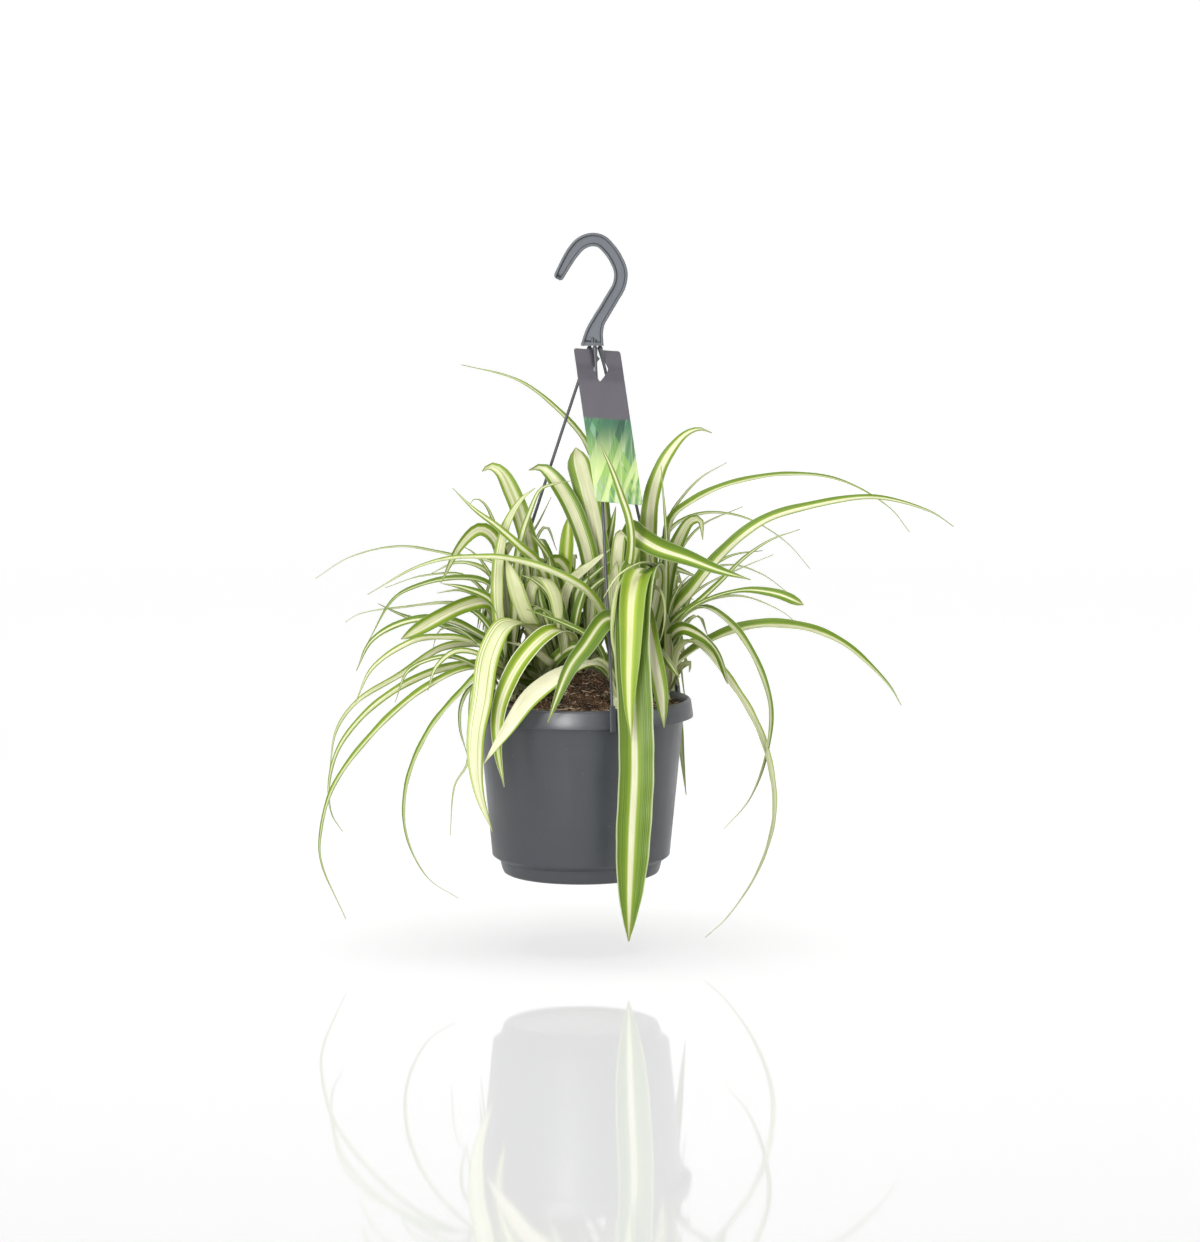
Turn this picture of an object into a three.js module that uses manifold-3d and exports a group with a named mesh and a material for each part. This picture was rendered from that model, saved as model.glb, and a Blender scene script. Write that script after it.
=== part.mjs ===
// A spider plant in a moulded hanging pot, in millimetres, +Z up, its front towards -Y.
// The part hangs: its origin is the bearing point inside the hook's arch. Everything is drawn in
// the pot's own frame, with z = 0 under the pot and its axis at x = y = 0, and a group moves it.

import * as THREE from "three";
import { mergeVertices } from "three/addons/utils/BufferGeometryUtils.js";
import Module from "manifold-3d";

const wasm = await Module();
wasm.setup();

// ---------------------------------------------------------------- driving dimensions

const GAP = 0.3; // clearance between pieces that touch
const CLEAN_UP = 0.1; // slivers finer than this, left where solids were joined, are merged away

const POT = {
  height: 133,
  rimRadius: 82.5, // outside, at the top
  skirtRadius: 84.5, // outside, at the skirt's lower edge
  skirtHeight: 13.5,
  bodyRadius: 76.8, // outside, just under the skirt
  stepRadius: 66.9, // outside, just above the step
  stepHeight: 14.5,
  footRadius: 61.2,
  wall: 1.4,
  floor: 1.8,
  sides: 36,
};
const LEDGE = { radius: 65.3, height: 15.2 }; // shelf inside the step
const INSERT = { radius: 64.8, thickness: 1.6, holeRadius: 2.4, sides: 28 };
const SOIL = { edge: 126, radius: 76.9, mound: 27, moundX: -4, moundY: 18, moundRadius: 66 };

const HOOK_SEAT = [10.5, 0, 470.2]; // bearing point, inside the arch
const HOOK = { depth: 8.4, web: 3.2, border: 1.9, footBottom: 397, socket: 5, steps: 24 };
const LEG = { radius: 1.15, ferrule: 2, ferruleLength: 14, sides: 8 };
const CLIP = { width: 4.2, thickness: 1.5, reach: 4.6, lip: 4.2 };
const TAG = { thickness: 0.8, bands: 16 };

// Each leg: its azimuth at the rim, in degrees from the front towards +X, and its socket in the foot.
const LEGS = [
  { name: "leg_front", azimuth: 16, socket: [10.4, -2.3] },
  { name: "leg_right", azimuth: 120, socket: [14.2, 0.8] },
  { name: "leg_left", azimuth: -112, socket: [6.6, 1.6] },
];

// Blades are laid out as they are seen from the front, from an eye 3 m away: x and z where the
// sight line meets the upright plane through the pot's axis, and how far the point stands in front
// of that plane.
const EYE = { x: 14, z: 512, distance: 3000 };
const BLADE = { thickness: 0.8, channel: 0.16, base: 0.5, full: 0.5, step: 30, wide: 14 };
const CROWN = { radius: 7.4, above: 9, below: 26, sides: 12 };

// ---------------------------------------------------------------- materials

const plastic = (color, roughness) =>
  new THREE.MeshStandardMaterial({ color, roughness, metalness: 0 });
const GREY_PLASTIC = 0x565a62;
const FOLIAGE = 0x7fa04a;

// ---------------------------------------------------------------- solids

function solidOf(geometry) {
  const bare = geometry.clone();
  bare.deleteAttribute("normal");
  bare.deleteAttribute("uv");
  const merged = mergeVertices(bare, 1e-4);
  return new wasm.Manifold(
    new wasm.Mesh({
      numProp: 3,
      vertProperties: new Float32Array(merged.attributes.position.array),
      triVerts: new Uint32Array(merged.index.array),
    }),
  );
}

// The solid's one body: a hollow that joining sealed is filled, and a loose scrap is dropped.
function geometryOf(solid) {
  const bodies = solid.simplify(CLEAN_UP).decompose();
  const body = bodies.reduce((best, next) => (next.volume() > best.volume() ? next : best));
  const mesh = body.getMesh();
  const geometry = new THREE.BufferGeometry();
  geometry.setAttribute("position", new THREE.BufferAttribute(mesh.vertProperties, 3));
  geometry.setIndex(new THREE.BufferAttribute(mesh.triVerts, 1));
  geometry.computeVertexNormals();
  return geometry;
}

const fuse = (solids) => solids.reduce((whole, next) => whole.add(next));

// A ring, disc or pot: a profile of [radius, z] turned about the z axis.
function turned(profile, sides) {
  const points = profile.map(([radius, z]) => new THREE.Vector2(radius, z));
  return new THREE.LatheGeometry(points, sides).rotateX(Math.PI / 2);
}

// A round bar from one height to another, with its own radius at each end.
function bar(x, y, low, high, lowRadius, highRadius, sides) {
  return new THREE.CylinderGeometry(highRadius, lowRadius, high - low, sides)
    .rotateX(Math.PI / 2)
    .translate(x, y, (low + high) / 2);
}

// A prism: an outline of [x, z] with a depth along y, centred on y = middle.
function prism(outline, depth, middle = 0) {
  const shape = new THREE.Shape(outline.map(([x, z]) => new THREE.Vector2(x, z)));
  return new THREE.ExtrudeGeometry(shape, { depth, bevelEnabled: false })
    .rotateX(Math.PI / 2)
    .translate(0, middle + depth / 2, 0);
}

// ---------------------------------------------------------------- pot

function potGeometry() {
  const { height, rimRadius, skirtRadius, skirtHeight, bodyRadius, stepRadius, stepHeight } = POT;
  const { footRadius, wall, floor, sides } = POT;
  const underRim = height - skirtHeight;
  return turned(
    [
      [0, floor],
      [47, floor],
      [49.5, 0],
      [55.4, 0],
      [58.4, 1.5],
      [59.6, 4.5],
      [footRadius, 10.6],
      [63.4, 12],
      [stepRadius, stepHeight],
      [bodyRadius, underRim - 2],
      [79.6, height - 5.6],
      [81.2, height - 3.6],
      [skirtRadius - 1.6, underRim],
      [skirtRadius, underRim],
      [rimRadius + 0.2, height - 1.4],
      [rimRadius - 1, height],
      [79.6, height],
      [78.6, height - 4],
      [bodyRadius - wall, underRim - 2],
      [LEDGE.radius + 0.2, LEDGE.height],
      [61.9, LEDGE.height],
      [footRadius - wall, 11.4],
      [58.1, 5],
      [56.4, floor + 1],
      [54.6, floor],
      [50.4, floor],
      [47.9, 2 * floor],
      [0, 2 * floor],
    ],
    sides,
  );
}

// ---------------------------------------------------------------- perforated plate and soil

function insertGeometry() {
  const { radius, thickness, holeRadius, sides } = INSERT;
  const low = LEDGE.height + GAP;
  const high = low + thickness;
  const plate = solidOf(bar(0, 0, low, high, radius, radius, sides));
  const rings = [
    { count: 5, radius: 22 },
    { count: 7, radius: 45 },
  ];
  const holes = [];
  for (const ring of rings) {
    for (let i = 0; i < ring.count; i++) {
      const turn = (2 * Math.PI * i) / ring.count;
      const x = ring.radius * Math.cos(turn);
      const y = ring.radius * Math.sin(turn);
      holes.push(solidOf(bar(x, y, low - 1, high + 1, holeRadius, holeRadius, 6)));
    }
  }
  return geometryOf(holes.reduce((whole, hole) => whole.subtract(hole), plate));
}

// Height of the soil's surface: level near the wall, with a mound behind the middle.
function soilHeight(x, y) {
  const { edge, mound, moundX, moundY, moundRadius } = SOIL;
  const away = Math.hypot(x - moundX, y - moundY) / moundRadius;
  const bump = away < 1 ? Math.cos((away * Math.PI) / 2) ** 2 : 0;
  return edge + mound * bump;
}

function soilGeometry(crowns) {
  const low = LEDGE.height + 2 * GAP + INSERT.thickness;
  const { edge, radius } = SOIL;
  const top = [radius, 68, 54, 40, 26, 12, 0].map((r) => [r, edge]);
  const geometry = turned([[0, low], [LEDGE.radius - GAP, low], [75, 117], ...top], 28);
  const at = geometry.attributes.position;
  for (let i = 0; i < at.count; i++) {
    const x = at.getX(i);
    const y = at.getY(i);
    if (at.getZ(i) > edge - 0.01 && Math.hypot(x, y) < radius - 0.5) at.setZ(i, soilHeight(x, y));
  }
  let soil = solidOf(geometry);
  for (const { x, y, z } of crowns) {
    const wide = CROWN.radius + GAP + 0.3;
    soil = soil.subtract(solidOf(bar(x, y, z - CROWN.below - GAP, z + 40, wide, wide, CROWN.sides)));
  }
  return geometryOf(soil);
}

// ---------------------------------------------------------------- hook

// Middle line of the moulded hook from its tip to its foot: x, z and half width.
const HOOK_LINE = [
  [-17.4, 446.4, 3.7],
  [-11.8, 456.8, 4.3],
  [-6, 466.2, 4.8],
  [0.2, 472.8, 5],
  [7.6, 475.6, 5],
  [14.8, 474.4, 5],
  [20.6, 469.2, 5],
  [26, 461.4, 5],
  [29.7, 451.4, 5.1],
  [28.4, 441.6, 5],
  [23.2, 432.2, 5],
  [17.4, 422.4, 5],
  [12.9, 414.8, 5.2],
  [10, 407, 6.6],
  [8.5, HOOK.footBottom, 8.6],
];

// Solid block across the foot, which holds the legs' sockets: x and z.
const FOOT_BLOCK = [
  [1.2, HOOK.footBottom],
  [15.8, HOOK.footBottom],
  [15.6, HOOK.footBottom + HOOK.socket + 1.4],
  [3.4, HOOK.footBottom + HOOK.socket + 1.4],
];

// Outline of the hook, drawn in by `inset` from its border and its two ends.
function hookOutline(inset) {
  const line = new THREE.CatmullRomCurve3(
    HOOK_LINE.map(([x, z]) => new THREE.Vector3(x, 0, z)),
    false,
    "centripetal",
  );
  const count = HOOK.steps;
  const left = [];
  const right = [];
  for (let i = 0; i <= count; i++) {
    const end = inset / line.getLength();
    const t = end + (1 - 2 * end) * (i / count);
    const place = line.getPoint(t);
    const along = line.getTangent(t);
    if (i === count) along.set(0, 0, -1);
    const row = t * (HOOK_LINE.length - 1);
    const before = HOOK_LINE[Math.floor(row)][2];
    const after = HOOK_LINE[Math.min(Math.floor(row) + 1, HOOK_LINE.length - 1)][2];
    const half = THREE.MathUtils.lerp(before, after, row % 1) - inset - (i === 0 ? 1.4 : 0);
    left.push([place.x - along.z * half, place.z + along.x * half]);
    right.push([place.x + along.z * half, place.z - along.x * half]);
  }
  return [...left, ...right.reverse()];
}

function hookGeometry() {
  const { depth, web, border, footBottom } = HOOK;
  const body = solidOf(prism(hookOutline(0), depth));
  const pocketDepth = (depth - web) / 2;
  const pocket = hookOutline(border);
  const front = solidOf(prism(pocket, pocketDepth + 1, -(web + pocketDepth + 1) / 2));
  const back = solidOf(prism(pocket, pocketDepth + 1, (web + pocketDepth + 1) / 2));
  const block = solidOf(prism(FOOT_BLOCK, depth));
  const hook = body.subtract(front).subtract(back).add(block);
  const sockets = LEGS.map(({ socket: [x, y] }) => {
    const wide = LEG.radius + GAP;
    return solidOf(bar(x, y, footBottom - 1, footBottom + HOOK.socket, wide, wide, LEG.sides));
  });
  return geometryOf(sockets.reduce((whole, socket) => whole.subtract(socket), hook));
}

// ---------------------------------------------------------------- legs

// A leg's middle line: from its socket down to the top of its clip at the rim.
function legPoints({ azimuth, socket: [x, y] }) {
  const turn = THREE.MathUtils.degToRad(azimuth);
  const out = new THREE.Vector3(Math.sin(turn), -Math.cos(turn), 0);
  const top = new THREE.Vector3(x, y, HOOK.footBottom + HOOK.socket - GAP);
  const rim = out.clone().multiplyScalar(POT.rimRadius + 1.6).setZ(POT.height + 1);
  return { out, top, rim };
}

function legGeometry(leg) {
  const { out, top, rim } = legPoints(leg);
  const start = top.clone().setZ(HOOK.footBottom - 1.5);
  const bow = start.clone().lerp(rim, 0.5).addScaledVector(out, 1.5);
  const line = new THREE.QuadraticBezierCurve3(start, bow, rim);
  const round = new THREE.Shape();
  for (let i = 0; i < LEG.sides; i++) {
    const turn = (2 * Math.PI * i) / LEG.sides;
    const to = [LEG.radius * Math.cos(turn), LEG.radius * Math.sin(turn)];
    if (i === 0) round.moveTo(...to);
    else round.lineTo(...to);
  }
  const strand = new THREE.ExtrudeGeometry(round, { steps: 6, extrudePath: line });
  const pin = bar(top.x, top.y, start.z - 0.5, top.z, LEG.radius, LEG.radius, LEG.sides);
  const { ferrule, ferruleLength, radius, sides } = LEG;
  const high = HOOK.footBottom - GAP;
  const ferruleBar = bar(top.x, top.y, high - ferruleLength, high, radius * 0.7, ferrule, sides);

  const { width, thickness, reach, lip } = CLIP;
  const under = POT.height - POT.skirtHeight;
  const inside = POT.skirtRadius + 0.5;
  const outside = inside + thickness;
  const profile = [
    [rim.clone().setZ(0).length() + radius, POT.height + 4],
    [outside, under - GAP],
    [outside, under - GAP - thickness],
    [outside - reach - thickness, under - GAP - thickness],
    [outside - reach - thickness, under - GAP + lip - thickness],
    [outside - reach, under - GAP + lip - thickness],
    [outside - reach, under - GAP],
    [inside, under - GAP],
    [POT.rimRadius + 0.7, POT.height + 0.4],
    [POT.rimRadius + 0.6, POT.height + 4],
  ];
  const clip = prism(profile, width).rotateZ(THREE.MathUtils.degToRad(leg.azimuth - 90));
  return geometryOf(fuse([strand, pin, ferruleBar, clip].map(solidOf)));
}

// ---------------------------------------------------------------- tag

// The tag's corner, its two edges as [x, depth, z], and the bend that takes it from behind the
// front leg above its hole to before that leg below it.
const TAG_CORNER = [-5.2, 12.4, 395.6];
const TAG_ACROSS = [34.4, -29, -3.6];
const TAG_DOWN = [17.2, 35.6, -115];
const TAG_BEND = { depth: 7.6, from: 0.09, to: 0.2 };

function tagPlace(u, v) {
  const { depth, from, to } = TAG_BEND;
  const [x, d, z] = [0, 1, 2].map((k) => TAG_CORNER[k] + u * TAG_ACROSS[k] + v * TAG_DOWN[k]);
  return [x, d + depth * THREE.MathUtils.smoothstep(v, from, to), z];
}

// Outline of the hanging hole and its slit, as shares of the tag's width and length.
const TAG_HOLE = [
  [0.3, -0.03],
  [0.4, 0.075],
  [0.35, 0.11],
  [0.34, 0.15],
  [0.4, 0.19],
  [0.5, 0.22],
  [0.7, 0.16],
  [0.67, 0.1],
  [0.68, -0.03],
];

// Moves a flat shape, drawn across and down the tag as shares of its size, onto the bent tag.
function ontoTag(geometry) {
  const at = geometry.attributes.position;
  for (let i = 0; i < at.count; i++) {
    const [x, depth, z] = tagPlace(at.getX(i), -at.getZ(i));
    at.setXYZ(i, x, at.getY(i) - depth, z);
  }
  return geometry;
}

function tagGeometry() {
  const { thickness, bands } = TAG;
  const sheet = new THREE.BoxGeometry(1, thickness, 1, 1, 1, bands).translate(0.5, 0, -0.5);
  const hole = prism(TAG_HOLE.map(([u, v]) => [u, -v]).reverse(), 16);
  return geometryOf(solidOf(ontoTag(sheet)).subtract(solidOf(ontoTag(hole))));
}

// ---------------------------------------------------------------- blades

// A point as it is seen from the front, moved to its true place at its depth.
function seen([x, z, depth]) {
  const share = (EYE.distance - depth) / EYE.distance;
  return new THREE.Vector3(EYE.x + (x - EYE.x) * share, -depth, EYE.z + (z - EYE.z) * share);
}

// Width of a blade along its length, as a share of its widest: narrow where it clasps the crown,
// at its widest until `full`, and from there drawn out to a fine tip.
function bladeShare(t, full) {
  const grow = BLADE.base + (1 - BLADE.base) * THREE.MathUtils.smoothstep(t, 0, 0.34);
  const taper = t < full ? 1 : 1 - ((t - full) / (1 - full)) ** 2.2;
  return grow * Math.max(taper, 0.1);
}

// Places along a blade at which it gets a section: its route's own points, and as many between
// them as its step asks for. Each is the curve's parameter and the share of its length.
function bladeStations(curve) {
  const lengths = curve.getLengths(400);
  const spans = curve.points.length - 1;
  const shareAt = (t) => lengths[Math.round(t * 400)] / lengths[400];
  const stations = [{ t: 0, share: 0 }];
  for (let i = 0; i < spans; i++) {
    const run = (shareAt((i + 1) / spans) - shareAt(i / spans)) * lengths[400];
    const parts = Math.max(1, Math.round(run / BLADE.step));
    for (let j = 1; j <= parts; j++) {
      const t = (i + j / parts) / spans;
      stations.push({ t, share: shareAt(t) });
    }
  }
  return stations;
}

// The blade's cross direction. `face` is the share of its width that the blade turns to the front
// at its middle, with its upper side forward where it is positive; without it the blade lies as it
// naturally arches.
function bladeRoll(curve, across, face) {
  if (face === undefined) return 0;
  const middle = curve.getTangentAt(0.55);
  const side = across.clone().addScaledVector(middle, -across.dot(middle)).normalize();
  const upper = middle.clone().cross(side);
  const a = -upper.y;
  const b = side.y;
  const reach = Math.hypot(a, b);
  const swing = Math.acos(THREE.MathUtils.clamp(face / reach, -1, 1));
  const phase = Math.atan2(b, a);
  const turns = [phase + swing, phase - swing].map((turn) => Math.atan2(Math.sin(turn), Math.cos(turn)));
  return Math.abs(turns[0]) < Math.abs(turns[1]) ? turns[0] : turns[1];
}

function bladeGeometry(points, width, face, full = BLADE.full) {
  const curve = new THREE.CatmullRomCurve3(points, false, "centripetal");
  const root = points[0];
  const far = points.reduce((best, p) =>
    Math.hypot(p.x - root.x, p.y - root.y) > Math.hypot(best.x - root.x, best.y - root.y) ? p : best,
  );
  const heading = new THREE.Vector3(far.x - root.x, far.y - root.y, 0).normalize();
  const across = new THREE.Vector3(0, 0, 1).cross(heading);
  const roll = bladeRoll(curve, across, face);
  const stations = bladeStations(curve);
  const count = stations.length - 1;
  const half = BLADE.thickness / 2;
  const channelled = width >= BLADE.wide;
  // Section points: share of the half width, share of the channel's depth, up or down.
  const section = channelled
    ? [[-1, 1, -1], [0, 0, -1], [1, 1, -1], [1, 1, 1], [0, 0, 1], [-1, 1, 1]]
    : [[-1, 0, -1], [1, 0, -1], [1, 0, 1], [-1, 0, 1]];
  const ring = section.length;
  const positions = [];
  for (const { t, share } of stations) {
    const place = curve.getPoint(t);
    const along = curve.getTangent(t);
    const side = across.clone().addScaledVector(along, -across.dot(along)).normalize();
    side.applyAxisAngle(along, roll * THREE.MathUtils.smoothstep(share, 0, 0.3));
    const upper = along.clone().cross(side);
    const reach = (width / 2) * bladeShare(share, full);
    const lift = BLADE.channel * 2 * reach;
    for (const [out, channel, face] of section) {
      const point = place.clone();
      point.addScaledVector(side, out * reach);
      point.addScaledVector(upper, channel * lift + face * half);
      positions.push(point.x, point.y, point.z);
    }
  }
  const index = [];
  for (let i = 0; i < count; i++) {
    for (let j = 0; j < ring; j++) {
      const a = i * ring + j;
      const b = i * ring + ((j + 1) % ring);
      const c = b + ring;
      const d = a + ring;
      // The two faces are split along the same diagonal, so that a twisted blade keeps its thickness.
      if (j < ring / 2 - 1 || j === ring - 1) index.push(a, b, c, a, c, d);
      else index.push(a, b, d, b, c, d);
    }
  }
  const last = count * ring;
  for (let j = 0; j < ring / 2 - 1; j++) {
    const pair = [j, j + 1, ring - 2 - j, ring - 1 - j];
    index.push(pair[0], pair[2], pair[1], pair[0], pair[3], pair[2]);
    const [a, b, c, d] = pair.map((k) => last + k);
    index.push(a, b, c, a, c, d);
  }
  const geometry = new THREE.BufferGeometry();
  geometry.setAttribute("position", new THREE.Float32BufferAttribute(positions, 3));
  geometry.setIndex(index);
  return geometry;
}

// ---------------------------------------------------------------- the plant

// Crowns: where each tuft stands in the soil.
const CROWNS = {
  left: [-53, 18],
  middle: [-14, 26],
  front: [29, -20],
  right: [61, 20],
  rear_left: [-30, 54],
  rear_right: [32, 55],
};

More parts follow.
